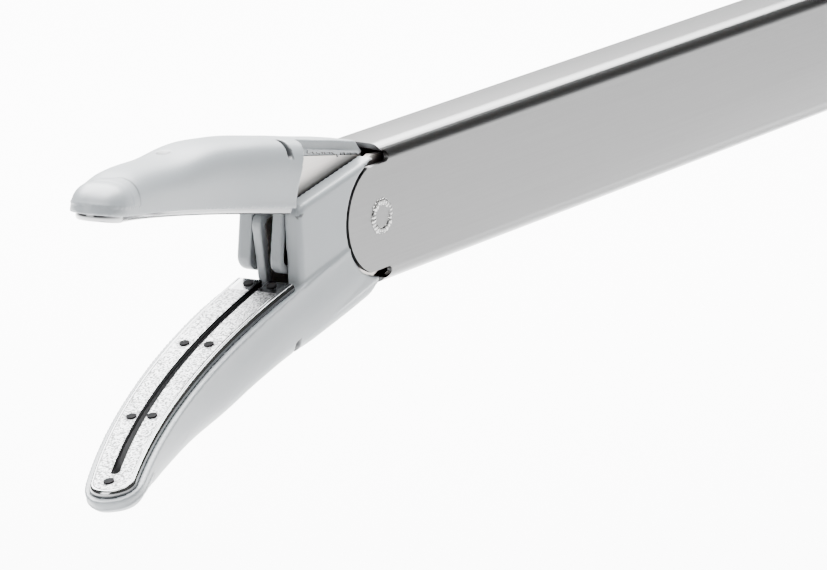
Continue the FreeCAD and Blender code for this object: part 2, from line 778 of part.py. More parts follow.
for jaw, bend in (("lower", 1), ("upper", -1)):
    pieces = {"frame": jaw_frame(jaw, bend), "insulator": insulator(bend), "seal_plate": seal_plate(bend, jaw == "lower")}
    whole_plate = plate_band(0.0, -size("plate_gap") - size("plate_depth"), 1.0, bend)
    pieces["cover"] = jaw_cover(jaw, bend, [pieces["frame"], pieces["insulator"], whole_plate])
    if jaw == "lower":
        pieces["stop_beads"] = Part.makeCompound(beads(bend))
    for piece, shape in pieces.items():
        label = piece if piece == "stop_beads" else f"{jaw}_{'jaw_' if piece in ('frame', 'cover') else ''}{piece}"
        thing = made(label.title().replace("_", ""), shape)
        thing.Placement = jaw_turn(jaw)
        node(thing, label)

# Drive sleeve: a rectangular tube inside the shaft, with two arms that carry the cam pins
sleeve = new_body("DriveSleeve")
pad(sleeve, "SleeveOutside", "YZ_Plane", "-Sizes.sleeve_back", "-Sizes.sleeve_arm_front",
    box_outline("Sizes.sleeve_width / 2", "Sizes.sleeve_height / 2"))
fillet(sleeve, "SleeveCorners", "Sizes.tube_corner - Sizes.tube_wall - 0.1", lambda e: runs_along(e, X_AXIS))
pocket(sleeve, "SleeveInside", "YZ_Plane", "-Sizes.sleeve_back - 1", "-Sizes.sleeve_arm_front + 1",
       box_outline("Sizes.sleeve_width / 2 - Sizes.sleeve_wall", "Sizes.sleeve_height / 2 - Sizes.sleeve_wall"))
for sign, side in (("", "Upper"), ("-", "Lower")):
    pocket(sleeve, side + "ArmEdge", "XZ_Plane", "-Sizes.tube_width", "Sizes.tube_width",
           [("-Sizes.sleeve_front", f"{sign}Sizes.sleeve_arm_half"), ("3", f"{sign}Sizes.sleeve_arm_half"),
            ("3", f"{sign}Sizes.tube_height"), ("-Sizes.sleeve_front", f"{sign}Sizes.tube_height")])
pocket(sleeve, "CamPinHoles", "XZ_Plane", "-Sizes.tube_width", "Sizes.tube_width",
       ("-Sizes.cam_open", "0", "Sizes.cam_pin_radius"))
node(sleeve, "drive_sleeve")

cam_pin = new_body("NearCamPin")
revolve(cam_pin, "CamPinTurning", "YZ_Plane",
        [("Sizes.inner_flange_in + 0.02", "0"), ("Sizes.inner_flange_in + 0.02", "Sizes.cam_pin_radius"),
         ("Sizes.sleeve_width / 2", "Sizes.cam_pin_radius"), ("Sizes.sleeve_width / 2", "0")])
move(cam_pin, "-Sizes.cam_open")
far_pin = doc.addObject("Part::Mirroring", "FarCamPin")
far_pin.Source = cam_pin
far_pin.Normal = Y_AXIS
cam_pins = doc.addObject("Part::Compound", "CamPins")
cam_pins.Links = [cam_pin, far_pin]
node(cam_pins, "cam_pins")

# Spool: a grooved collar on the sleeve's back end, so that the shaft can turn while it is drawn
spool = new_body("DriveSpool")
spool_front = "-Sizes.spool_at + Sizes.spool_half"
spool_rear = "-Sizes.spool_at - Sizes.spool_half"
revolve(spool, "SpoolTurning", "XZ_Plane",
        [(spool_rear, "0"), (spool_rear, "Sizes.spool_radius"),
         ("-Sizes.spool_at - Sizes.spool_groove_half", "Sizes.spool_radius"),
         ("-Sizes.spool_at - Sizes.spool_groove_half", "Sizes.spool_groove_radius"),
         ("-Sizes.spool_at + Sizes.spool_groove_half", "Sizes.spool_groove_radius"),
         ("-Sizes.spool_at + Sizes.spool_groove_half", "Sizes.spool_radius"),
         (spool_front, "Sizes.spool_radius"), (spool_front, "0")])
pocket(spool, "SpoolHole", "YZ_Plane", "-Sizes.spool_at - 9", "-Sizes.spool_at + 9",
       box_outline("Sizes.sleeve_width / 2", "Sizes.sleeve_height / 2"))
node(spool, "drive_spool")

# Knife: an arc-shaped blade that runs round the jaws' curve, its flexible strip, and the rod that pushes it


def ring_part(start, end, half, low, high):
    """A slab on the knife's own circle, between two runs along the jaws."""
    straight, radius = size("straight_run"), size("curve_radius")

    def spot(run, reach):
        turn = (run - straight) / radius
        return Vector(straight + reach * math.sin(turn), radius - reach * math.cos(turn), 0)

    middle = (start + end) / 2
    edges = [
        Part.Arc(*(spot(run, radius + half) for run in (start, middle, end))).toShape(),
        Part.LineSegment(spot(end, radius + half), spot(end, radius - half)).toShape(),
        Part.Arc(*(spot(run, radius - half) for run in (end, middle, start))).toShape(),
        Part.LineSegment(spot(start, radius - half), spot(start, radius + half)).toShape(),
    ]
    return slab(edges, low, high)


blade = ring_part(size("blade_back"), size("blade_front"), size("blade_half"), -size("blade_rise"), size("blade_rise"))
rake = side_plate([(size("blade_front") - 1.2, size("blade_rise")), (size("blade_front"), -size("blade_rise")),
                   (size("blade_front") + 2, -size("blade_rise")), (size("blade_front") + 2, size("blade_rise") + 1),
                   (size("blade_front") - 1.2, size("blade_rise") + 1)], -1.0, 1.0)
node(made("KnifeBlade", blade.cut(rake)), "knife_blade")

strip = doc.addObject("Part::Box", "KnifeStrip")
strip.setExpression("Length", "Sizes.strip_back + Sizes.blade_back - 0.1")
strip.setExpression("Width", "2 * Sizes.strip_half")
strip.setExpression("Height", "2 * Sizes.strip_rise")
move(strip, "-Sizes.strip_back", "-Sizes.strip_half", "-Sizes.strip_rise")
node(strip, "knife_strip")

rod = new_body("KnifeRod")
revolve(rod, "RodTurning", "XZ_Plane",
        [("-Sizes.knife_rod_back", "0"), ("-Sizes.knife_rod_back", "Sizes.knife_collar_radius"),
         ("-Sizes.knife_rod_back + 3", "Sizes.knife_collar_radius"),
         ("-Sizes.knife_rod_back + 3", "Sizes.knife_rod_radius"),
         ("-Sizes.strip_back", "Sizes.knife_rod_radius"), ("-Sizes.strip_back", "0")])
node(rod, "knife_rod")

guide = new_body("KnifeGuide")
pad(guide, "GuidePlate", "YZ_Plane", "-Sizes.guide_back", "Sizes.guide_front",
    box_outline("Sizes.guide_half", "Sizes.guide_rise"))
pad(guide, "GuideBlock", "YZ_Plane", "-Sizes.guide_back", "-Sizes.guide_block_front",
    box_outline("Sizes.guide_block_half", "Sizes.guide_rise"))
pocket(guide, "GuideSlot", "YZ_Plane", "-Sizes.guide_back - 1", "Sizes.guide_front + 1",
       box_outline("Sizes.guide_slot_half", "Sizes.strip_rise + 0.15"))
pocket(guide, "StudSeats", "XZ_Plane", "-Sizes.guide_half - 1", "Sizes.guide_half + 1", ("0", "0", "Sizes.stud_spigot"))
node(guide, "knife_guide")

leads = []
for sign, side in (("", "Upper"), ("-", "Lower")):
    lead = doc.addObject("Part::Cylinder", side + "Lead")
    lead.setExpression("Radius", "Sizes.lead_radius")
    lead.setExpression("Height", "Sizes.sleeve_back - Sizes.guide_block_front")
    lead.Placement = FreeCAD.Placement(Vector(0, 0, 0), FreeCAD.Rotation(Y_AXIS, 90))
    leads.append(move(lead, "-Sizes.sleeve_back", "0", f"{sign}Sizes.lead_level"))
wires = doc.addObject("Part::Compound", "SealingLeads")
wires.Links = leads
node(wires, "sealing_leads")

# Rotation knob: fluted, fixed on the tube, with a hub that turns in the bearing
knob = new_body("RotationKnob")
revolve(knob, "KnobTurning", "XZ_Plane",
        [("-Sizes.knob_hub_back - 0.5", "0"), ("-Sizes.knob_hub_back - 0.5", "Sizes.knob_hub_radius + 1"),
         ("-Sizes.bearing_back - 0.2", "Sizes.knob_hub_radius + 1"), ("-Sizes.bearing_back - 0.2", "Sizes.knob_hub_radius"),
         ("-Sizes.knob_back", "Sizes.knob_hub_radius"), ("-Sizes.knob_back", "Sizes.knob_radius - 1"),
         ("-Sizes.knob_back + 1", "Sizes.knob_radius"), ("-Sizes.knob_front - 9", "Sizes.knob_radius"),
         ("-Sizes.knob_front", "Sizes.knob_nose_radius"), ("-Sizes.knob_front", "0")])
pocket(knob, "KnobBore", "YZ_Plane", "-Sizes.knob_hub_back - 2", "-Sizes.knob_front + 2",
       box_outline("Sizes.tube_width / 2", "Sizes.tube_height / 2"))
flute = pocket(knob, "KnobFlute", "YZ_Plane", "-Sizes.knob_back + 2.5", "-Sizes.knob_front + 2",
               ("0", "Sizes.knob_radius + Sizes.knob_flute_radius / 2", "Sizes.knob_flute_radius"))
flutes = knob.newObject("PartDesign::PolarPattern", "KnobFlutes")
flutes.Originals = [flute]
flutes.Axis = (flute.Profile[0], ["N_Axis"])
flutes.Angle = 360
flutes.setExpression("Occurrences", "Sizes.knob_flutes")
knob.Tip = flutes
node(knob, "rotation_knob")

bearing = new_body("KnobBearing")
revolve(bearing, "BearingTurning", "XZ_Plane",
        [("-Sizes.bearing_back", "Sizes.knob_hub_radius + 0.08"), ("-Sizes.bearing_back", "Sizes.bearing_radius"),
         ("-Sizes.bearing_front", "Sizes.bearing_radius"), ("-Sizes.bearing_front", "Sizes.knob_hub_radius + 0.08")])
node(bearing, "knob_bearing")

# Housing halves: a barrel over a pistol grip, hollow, with bosses for the screws
SCREWS = [("-Sizes.spool_at - 5", "Sizes.housing_top - 6.5"), ("-Sizes.gear_back + 4", "Sizes.housing_top - 7"),
          ("-Sizes.gear_back - 24", "-13"), ("-Sizes.grip_back + 9", "-(Sizes.housing_floor + Sizes.grip_toe) / 2 + 9"),
          ("-Sizes.grip_back + 2", "-Sizes.grip_toe + 14")]
shell_outline = [
    ("-Sizes.housing_front", "-20"), ("-Sizes.housing_front", "15"),
    ("-Sizes.housing_front - 10", "Sizes.housing_top"), ("-Sizes.gear_back - 13", "Sizes.housing_top"),
    ("-Sizes.housing_back", "Sizes.housing_top - 10"), ("-Sizes.housing_back", "-8"),
    ("-Sizes.grip_back", "-Sizes.housing_floor"), ("-Sizes.grip_toe_back", "-Sizes.grip_toe + 6"),
    ("-Sizes.grip_toe_back + 1", "-Sizes.grip_toe"), ("-Sizes.grip_toe_front", "-Sizes.grip_toe"),
    ("-Sizes.grip_front", "-Sizes.housing_floor"), ("-Sizes.housing_front - 6", "-Sizes.housing_floor"),
]
wall = "Sizes.housing_wall"
cavity_outline = [
    ("-Sizes.bearing_back - 1.6", f"-20 + {wall}"), ("-Sizes.bearing_back - 1.6", f"15 - {wall}"),
    ("-Sizes.housing_front - 10", f"Sizes.housing_top - {wall}"),
    ("-Sizes.gear_back - 13", f"Sizes.housing_top - {wall}"),
    (f"-Sizes.housing_back + {wall}", f"Sizes.housing_top - 10 - {wall}"),
    (f"-Sizes.housing_back + {wall}", "-8"),
    (f"-Sizes.grip_back + {wall}", "-Sizes.housing_floor"),
    (f"-Sizes.grip_toe_back + 1 + {wall}", f"-Sizes.grip_toe + {wall}"),
    (f"-Sizes.grip_toe_front - {wall}", f"-Sizes.grip_toe + {wall}"),
    (f"-Sizes.grip_front - {wall}", f"-Sizes.housing_floor + {wall}"),
    ("-Sizes.housing_front - 7", f"-Sizes.housing_floor + {wall}"),
]


def housing(name, sign):
    """One half of the housing; sign is the side of the seam it is on."""
    seam, outer = "Sizes.seam_gap / 2", "Sizes.housing_half"
    inner = f"Sizes.housing_half - {wall}"

    def levels(near, far):
        return (near, far) if sign > 0 else (f"-({far})", f"-({near})")

    half = new_body(name)
    pad(half, name + "Shell", "XZ_Plane", *levels(seam, outer), shell_outline)
    fillet(half, name + "Corners", "5", lambda e: runs_along(e, Y_AXIS) and e.CenterOfMass.x < -size("housing_front") - 1
           and abs(e.CenterOfMass.z + size("grip_toe")) > 1)
    flat = sign * size("housing_half")
    fillet(half, name + "Edge", "4", lambda e: abs(e.CenterOfMass.y - flat) < 1e-6 and lies_flat(e, Y_AXIS))
    pocket(half, name + "Cavity", "XZ_Plane", *levels("0", inner), cavity_outline)
    pad(half, name + "Bosses", "XZ_Plane", *levels(seam, f"{inner} + 0.5"),
        *[(across, up, "3") for across, up in SCREWS])
    pad(half, name + "Rib", "YZ_Plane", "-Sizes.drive_spring_back - 2 * Sizes.rib_half", "-Sizes.drive_spring_back",
        [(levels(seam, f"{inner} + 0.5")[0], "-8"), (levels(seam, f"{inner} + 0.5")[1], "-8"),
         (levels(seam, f"{inner} + 0.5")[1], "8"), (levels(seam, f"{inner} + 0.5")[0], "8")])
    pocket(half, name + "RibBore", "YZ_Plane", "-Sizes.drive_spring_back - 9", "-Sizes.drive_spring_back + 9",
           ("0", "0", "Sizes.rib_bore"))
    pocket(half, name + "BearingBore", "YZ_Plane", "-Sizes.bearing_back", "-Sizes.housing_front + 2",
           ("0", "0", "Sizes.bearing_radius"))
    pocket(half, name + "HubRoom", "YZ_Plane", "-Sizes.bearing_back - 4", "-Sizes.bearing_back + 1",
           ("0", "0", "Sizes.knob_hub_radius + 1.5"))
    pocket(half, name + "LeverSlot", "XY_Plane", "-Sizes.housing_floor - 1", f"-Sizes.housing_floor + {wall} + 1",
           box_outline("(Sizes.lever_pivot_back + 32 - Sizes.trigger_front + 1) / 2", "Sizes.lever_half + 0.7",
                       "-(Sizes.lever_pivot_back + 32 + Sizes.trigger_front - 1) / 2"))
    pocket(half, name + "AxleSeats", "XZ_Plane", *levels("0", f"{inner} + 1"),
           ("-Sizes.gear_back", "-12 - Sizes.slider_rack_level", "Sizes.gear_axle_radius"),
           ("-Sizes.lever_pivot_back", "Sizes.lever_pivot_up", "Sizes.lever_pin_radius"))
    pocket(half, name + "ScrewHoles", "XZ_Plane", *levels("-1", "10") if sign > 0 else levels("-1", "18"),
           *[(across, up, "1.5") for across, up in SCREWS])
    if sign < 0:
        pocket(half, name + "HeadSeats", "XZ_Plane", "-Sizes.housing_half - 1", "-Sizes.housing_half + 1.6",
               *[(across, up, "2.6") for across, up in SCREWS])
    pocket(half, name + "ButtonHole", "YZ_Plane", "-Sizes.housing_back - 1", "-Sizes.housing_back + 6",
           ("0", "Sizes.button_level", "Sizes.button_radius + 0.15"))
    pocket(half, name + "GlandHole", "XY_Plane", "-Sizes.grip_toe - 1", "-Sizes.grip_toe + 6",
           ("-(Sizes.grip_toe_front + Sizes.grip_toe_back) / 2", "0", "Sizes.gland_radius"))
    return half


node(housing("LeftHalf", 1), "housing_left")
node(housing("RightHalf", -1), "housing_right")

screw_shapes = []
for across, up in SCREWS:
    spot = Vector(worth(across), -size("housing_half") + 0.2, worth(up))
    shank = Part.makeCylinder(1.45, size("housing_half") + 9.6, spot, Y_AXIS)
    head = Part.makeCylinder(2.5, 1.4, spot, Y_AXIS)
    socket = Part.makeCylinder(1.2, 0.9, spot - Y_AXIS * 0.1, Y_AXIS)
    screw_shapes.append(head.fuse(shank).cut(socket))
node(made("HousingScrews", Part.makeCompound(screw_shapes)), "housing_screws")

# Lever: two arms round the knife rod, a stem below the housing and a hooked toe for the fingers
lever = new_body("Lever")
pivot_x, pivot_z = "-Sizes.lever_pivot_back", "Sizes.lever_pivot_up"
arm_outline = [(f"{pivot_x} - 4", "-24"), (f"{pivot_x} + 4", "-24"), (f"{pivot_x} + 4", pivot_z),
               (f"{pivot_x} - 4", pivot_z)]
pad(lever, "LeverStem", "XZ_Plane", "-Sizes.lever_half", "Sizes.lever_half",
    [(f"{pivot_x} - 6", "-20"), (f"{pivot_x} - 8", "-44"), (f"{pivot_x} - 6", "-74"), (f"{pivot_x}", "-Sizes.lever_toe"),
     (f"{pivot_x} + 15", "-Sizes.lever_toe"), (f"{pivot_x} + 16", "-Sizes.lever_toe + 5"), (f"{pivot_x} + 4", "-76"),
     (f"{pivot_x}", "-58"), (f"{pivot_x} + 3", "-36"), (f"{pivot_x} + 3", "-20")])
fillet(lever, "LeverCorners", "4", lambda e: runs_along(e, Y_AXIS) and -75 < e.CenterOfMass.z < -30)
fillet(lever, "LeverEdges", "1.5", lambda e: lies_flat(e, Y_AXIS) and e.CenterOfMass.z < -22)
pad(lever, "LeftArm", "XZ_Plane", "Sizes.lever_arm_in", "Sizes.lever_half", arm_outline)
pad(lever, "RightArm", "XZ_Plane", "-Sizes.lever_half", "-Sizes.lever_arm_in", arm_outline)
pad(lever, "LeftBoss", "XZ_Plane", "Sizes.lever_arm_in", "Sizes.lever_half", (pivot_x, pivot_z, "Sizes.lever_boss_radius"))
pad(lever, "RightBoss", "XZ_Plane", "-Sizes.lever_half", "-Sizes.lever_arm_in",
    (pivot_x, pivot_z, "Sizes.lever_boss_radius"))
pad(lever, "LeftStud", "XZ_Plane", "Sizes.lever_half - 0.5", "Sizes.rail_out - 0.2", (pivot_x, "0", "Sizes.lever_stud_radius"))
pad(lever, "RightStud", "XZ_Plane", "-Sizes.rail_out + 0.2", "-Sizes.lever_half + 0.5",
    (pivot_x, "0", "Sizes.lever_stud_radius"))
pocket(lever, "LeverBore", "XZ_Plane", "-Sizes.lever_half - 1", "Sizes.lever_half + 1",
       (pivot_x, pivot_z, "Sizes.lever_pin_radius + 0.05"))
node(lever, "lever")

lever_pin = doc.addObject("Part::Cylinder", "LeverPin")
lever_pin.setExpression("Radius", "Sizes.lever_pin_radius")
lever_pin.setExpression("Height", f"2 * (Sizes.housing_half - {wall} + 1)")
lever_pin.Placement = FreeCAD.Placement(Vector(0, 0, 0), FreeCAD.Rotation(X_AXIS, -90))
move(lever_pin, pivot_x, f"-(Sizes.housing_half - {wall} + 1)", pivot_z)
node(lever_pin, "lever_pin")

# Drive carriage: a fork in the spool's groove, two rails, and a back plate that the spring presses on
carriage = new_body("DriveCarriage")
fork_half = "Sizes.spool_groove_half - 0.2"
pad(carriage, "Fork", "YZ_Plane", f"-Sizes.spool_at - ({fork_half})", f"-Sizes.spool_at + {fork_half}",
    box_outline("Sizes.rail_out", "8.5"))
pocket(carriage, "ForkMouth", "YZ_Plane", "-Sizes.spool_at - 9", "-Sizes.spool_at + 9",
       ("0", "0", "Sizes.spool_groove_radius + 0.2"))
pocket(carriage, "ForkWay", "YZ_Plane", "-Sizes.spool_at - 9", "-Sizes.spool_at + 9",
       box_outline("Sizes.spool_groove_radius + 0.2", "5", up="-5"))
pad(carriage, "LeftRail", "XZ_Plane", "Sizes.rail_in", "Sizes.rail_out",
    box_outline("(Sizes.carriage_back - Sizes.spool_at) / 2", "Sizes.rail_half", "-(Sizes.carriage_back + Sizes.spool_at) / 2"))
pad(carriage, "BackPlate", "YZ_Plane", "-Sizes.carriage_back", "-Sizes.carriage_back + 2.6", box_outline("Sizes.rail_out", "7.5"))
pad(carriage, "RightRail", "XZ_Plane", "-Sizes.rail_out", "-Sizes.rail_in",
    box_outline("(Sizes.carriage_back - Sizes.spool_at) / 2", "Sizes.rail_half", "-(Sizes.carriage_back + Sizes.spool_at) / 2"))
pocket(carriage, "BackBore", "YZ_Plane", "-Sizes.carriage_back - 1", "-Sizes.carriage_back + 4", ("0", "0", "Sizes.rib_bore"))
pocket(carriage, "StudSlots", "XZ_Plane", "-Sizes.rail_out - 1", "Sizes.rail_out + 1",
       box_outline("Sizes.lever_stud_radius + 0.3", "4.2", pivot_x, "2"))
node(carriage, "drive_carriage")


def coil(radius, wire, start, end, turns, side, up):
    """A compression spring along X, its wire swept on a helix."""
    length = end - start - 2 * wire
    helix = Part.makeHelix(length / turns, length, radius)
    around = [math.radians(60 * i) for i in range(6)]
    ring = [Vector(radius + wire * math.cos(turn), 0, wire * math.sin(turn)) for turn in around]
    body = Part.Wire(helix).makePipeShell([Part.makePolygon(ring + ring[:1])], True, True)
    body.rotate(Vector(0, 0, 0), Y_AXIS, 90)
    body.translate(Vector(start + wire, side, up))
    return body


wire_half = size("spring_wire")
node(made("DriveSpring", coil(size("drive_spring_radius"), wire_half, -size("drive_spring_back"),
                              -size("carriage_back"), 4, 0, 0)), "drive_spring")

# Knife drive: the trigger's rack turns the small gear, and the big gear drives the slider's rack forward
module = size("tooth_module")
PRESSURE = math.radians(20)
RACK_ADDENDUM, GEAR_ADDENDUM, DEDENDUM = 0.65, 0.9, 1.15


def involute(angle):
    return math.tan(angle) - angle


def gear_face(teeth, gap_angle):
    """A gear's outline in side view, with a tooth space centred on an angle."""
    pitch_radius = module * teeth / 2
    base = pitch_radius * math.cos(PRESSURE)
    root, top = pitch_radius - DEDENDUM * module, pitch_radius + GEAR_ADDENDUM * module
    start = max(base, root)
    spots = []
    for tooth in range(teeth):
        middle = gap_angle + (tooth + 0.5) * 2 * math.pi / teeth
        flank = []
        for share in (0.0, 0.35, 0.7, 1.0):
            radius = start + (top - start) * share
            half = math.pi / (2 * teeth) + involute(PRESSURE) - involute(math.acos(base / radius))
            flank.append((radius, half))
        steps = [(root, flank[0][1])] + flank if root < start else flank
        steps = [(radius, -half) for radius, half in steps] + [(radius, half) for radius, half in reversed(steps)]
        spots += [Vector(radius * math.cos(middle + turn), 0, radius * math.sin(middle + turn)) for radius, turn in steps]
    return Part.Face(Part.makePolygon(spots + spots[:1]))


def rack_teeth(centre, pitch_level, point, low, high, side_low, side_high):
    """Rack teeth from low to high along X that point up (1) or down (-1); one tooth is centred on centre."""
    pitch = math.pi * module
    half = pitch / 4 - size("tooth_backlash") / 2
    lean = math.tan(PRESSURE)
    teeth = []
    for step in range(math.ceil((low - centre) / pitch), math.floor((high - centre) / pitch) + 1):
        x = centre + step * pitch
        tip, foot = RACK_ADDENDUM * module, -DEDENDUM * module - 0.1
        teeth.append(side_plate([(x - half + tip * lean, pitch_level + point * tip),
                                 (x + half - tip * lean, pitch_level + point * tip),
                                 (x + half - foot * lean, pitch_level + point * foot),
                                 (x - half + foot * lean, pitch_level + point * foot)], side_low, side_high))
    return teeth


gear_x = -size("gear_back")
small_out = size("housing_half") - size("housing_wall") - size("small_gear_gap")
small_in = small_out - size("small_gear_width")
big_teeth, small_teeth = int(size("small_teeth") * size("gear_ratio")), int(size("small_teeth"))
gear_z = -size("slider_rack_level") - module * big_teeth / 2
trigger_travel = size("knife_travel") / size("gear_ratio")
big = gear_face(big_teeth, math.pi / 2).extrude(Vector(0, 2 * size("big_gear_half"), 0))
big.translate(Vector(0, -size("big_gear_half"), 0))
small = gear_face(small_teeth, -math.pi / 2).extrude(Vector(0, small_out - small_in, 0))
small.translate(Vector(0, small_in, 0))
hub = cross_rod(4.0, -3.0, small_out)
gear = big.fuse([small, hub]).cut(cross_rod(size("gear_axle_radius") + 0.05, -SPAN, 3 * SPAN))
gear.translate(Vector(gear_x, 0, gear_z))
node(made("KnifeGear", gear), "knife_gear")

axle = doc.addObject("Part::Cylinder", "GearAxle")
axle.setExpression("Radius", "Sizes.gear_axle_radius")
axle.setExpression("Height", f"2 * (Sizes.housing_half - {wall} + 1)")
axle.Placement = FreeCAD.Placement(Vector(0, 0, 0), FreeCAD.Rotation(X_AXIS, -90))
move(axle, "-Sizes.gear_back", f"-(Sizes.housing_half - {wall} + 1)", "-12 - Sizes.slider_rack_level")
node(axle, "gear_axle")

slider_half = size("slider_half")
rack_back = gear_x - size("knife_travel") - 2
rack_root = -size("slider_rack_level") + DEDENDUM * module
slider_front = -size("slider_front")
bar = Part.makeBox(slider_front - rack_back, 2 * slider_half, size("slider_top") - rack_root,
                   Vector(rack_back, -slider_half, rack_root))
head = Part.makeCylinder(4.2, 7.5, Vector(slider_front - 0.5, 0, 0), X_AXIS)
room = Part.makeCylinder(size("knife_collar_radius") + 0.2, 3.4, Vector(-size("knife_rod_back") - 0.2, 0, 0), X_AXIS)
way = Part.makeCylinder(size("knife_rod_radius") + 0.15, 20, Vector(-size("knife_rod_back"), 0, 0), X_AXIS)
teeth = rack_teeth(gear_x, -size("slider_rack_level"), -1, rack_back + 1.6, gear_x + 4.5, -slider_half, slider_half)
slider = bar.fuse([head] + teeth).removeSplitter().cut([room, way])
node(made("KnifeSlider", slider), "knife_slider")

trigger_level = gear_z - module * small_teeth / 2
rack_low = trigger_level - DEDENDUM * module
trigger_rack = Part.makeBox(size("gear_back") + 4 - size("trigger_front"), 3.0, 3.0,
                            Vector(gear_x - 4, small_in, rack_low - 3.0))
trigger_teeth = rack_teeth(gear_x, trigger_level, 1, gear_x - 3.5, gear_x + trigger_travel + 3,
                           small_in, small_out)
cross = Part.makeBox(size("trigger_back") - size("trigger_front"), small_out + size("trigger_half"), 3.0,
                     Vector(-size("trigger_back"), -size("trigger_half"), rack_low - 3.0))
finger = side_plate([(-size("trigger_back"), rack_low), (-size("trigger_back") - 1, -40.0),
                     (-size("trigger_back") + 3, -size("trigger_toe")), (-size("trigger_front") + 3, -size("trigger_toe")),
                     (-size("trigger_front") - 2, -42.0), (-size("trigger_front"), rack_low)],
                    -size("trigger_half"), size("trigger_half"))
finger = finger.makeFillet(1.5, [e for e in finger.Edges if e.CenterOfMass.z < -33 and lies_flat(e, Y_AXIS)])
trigger = trigger_rack.fuse([cross, finger] + trigger_teeth).removeSplitter()
node(made("KnifeTrigger", trigger), "knife_trigger")

node(made("TriggerSpring", coil(2.2, 0.4, -size("housing_back") + size("housing_wall") + 2.4, gear_x - 4, 9,
                                small_in + 1.5, rack_low - 1.5)), "trigger_spring")

# Activation button on the back of the housing, its spring and the board with the switch behind it
button = new_body("ActivationButton")
button_back = "-Sizes.housing_back - Sizes.button_stand"
flange_back = f"-Sizes.housing_back + {wall} + 0.3"
revolve(button, "ButtonTurning", "XZ_Plane",
        [(button_back, "0"), (button_back, "Sizes.button_radius - 0.6"), (f"{button_back} + 0.6", "Sizes.button_radius"),
         (flange_back, "Sizes.button_radius"), (flange_back, "Sizes.button_radius + 1.5"),
         (f"{flange_back} + 1.2", "Sizes.button_radius + 1.5"), (f"{flange_back} + 1.2", "0")])
move(button, "0", "0", "Sizes.button_level")
node(button, "activation_button")

button_face = worth(f"{flange_back} + 1.2")
board_x = button_face + 3.2
node(made("ButtonSpring", coil(3.2, 0.25, button_face, board_x, 3, 0, size("button_level"))), "button_spring")
board_half = size("housing_half") - size("housing_wall")
board = Part.makeBox(1.2, 2 * board_half, 12.0, Vector(board_x, -board_half, -2.0))
switch = Part.makeCylinder(1.8, 1.2, Vector(board_x - 1.2, 0, size("button_level")), X_AXIS)
node(made("SwitchBoard", board.fuse(switch)), "switch_board")

# Cord gland in the toe of the grip
gland = new_body("CordGland")
toe_x = "-(Sizes.grip_toe_front + Sizes.grip_toe_back) / 2"
pad(gland, "GlandBody", "XY_Plane", "-Sizes.grip_toe - 6", "-Sizes.grip_toe + 8", (toe_x, "0", "Sizes.gland_radius"))
pocket(gland, "GlandBore", "XY_Plane", "-Sizes.grip_toe - 7", "-Sizes.grip_toe + 9", (toe_x, "0", "Sizes.gland_bore"))
node(gland, "cord_gland")

doc.recompute()
bad = [f"{thing.Label}: {thing.State}" for thing in doc.Objects
       if "Invalid" in thing.State or "Error" in thing.State]
for thing in NODES:
    if thing.Shape.isNull() or not thing.Shape.isValid():
        bad.append(f"{thing.Label}: not a valid shape")
if bad:
    raise ValueError("; ".join(bad))
facets = 0
for thing in NODES:
    thing.Shape.exportStep(f"parts/{thing.Label}.step")
    count = len(thing.Shape.tessellate(0.1)[1])
    facets += count
    bounds = thing.Shape.BoundBox
    print(f"{thing.Label}: {len(thing.Shape.Solids)} solids, {thing.Shape.Volume:.1f} mm3, {count} facets, "
          f"x {bounds.XMin:.1f} to {bounds.XMax:.1f}")
print(f"{len(NODES)} nodes, {facets} facets")
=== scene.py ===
# %% [markdown]
# Vessel sealer: a surgical instrument that clamps a vessel between two curved jaws, seals it with current
# and cuts it with a small knife. The photograph shows the jaw end close up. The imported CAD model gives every
# size, so this lesson only dresses it: it rounds edges, gives each surface its finish, and adds the small
# marks that moulding, blasting and welding leave.

# %% Load the frame
import json

import bmesh
import bpy
import numpy as np
from mathutils import Matrix, Vector


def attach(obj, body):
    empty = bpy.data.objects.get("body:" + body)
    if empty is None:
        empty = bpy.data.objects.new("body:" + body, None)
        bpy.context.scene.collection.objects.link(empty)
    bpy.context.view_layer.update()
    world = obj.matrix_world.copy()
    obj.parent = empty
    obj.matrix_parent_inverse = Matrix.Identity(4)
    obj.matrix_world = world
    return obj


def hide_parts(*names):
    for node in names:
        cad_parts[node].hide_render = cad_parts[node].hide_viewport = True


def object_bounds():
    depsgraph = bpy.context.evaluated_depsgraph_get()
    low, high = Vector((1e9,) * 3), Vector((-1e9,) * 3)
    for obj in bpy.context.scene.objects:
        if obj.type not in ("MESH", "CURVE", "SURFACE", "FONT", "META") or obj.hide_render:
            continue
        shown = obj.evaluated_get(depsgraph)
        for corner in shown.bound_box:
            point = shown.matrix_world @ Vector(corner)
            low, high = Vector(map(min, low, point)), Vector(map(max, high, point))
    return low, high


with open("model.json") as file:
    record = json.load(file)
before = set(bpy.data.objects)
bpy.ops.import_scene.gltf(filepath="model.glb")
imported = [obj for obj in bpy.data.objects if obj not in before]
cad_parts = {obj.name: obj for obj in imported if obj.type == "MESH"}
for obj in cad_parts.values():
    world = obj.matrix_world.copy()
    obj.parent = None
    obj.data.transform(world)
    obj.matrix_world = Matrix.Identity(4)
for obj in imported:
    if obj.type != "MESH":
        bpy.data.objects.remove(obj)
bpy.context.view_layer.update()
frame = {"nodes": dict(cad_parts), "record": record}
slot_of = {part["node"]: part["material_slot"] for part in frame["record"]["subparts"]}
body_of = {node: body for body, nodes in frame["record"]["behaviour"]["bodies"].items() for node in nodes}
MM = 0.001
print("nodes loaded:", len(frame["nodes"]))

# %% [markdown]
# The camera stands where the photographer's did. Two unit vectors say how it is turned: which way is right in
# the picture, and which way it looks. The third, up, is square to both. A long lens from about half a metre
# gives the flat perspective of the photograph.

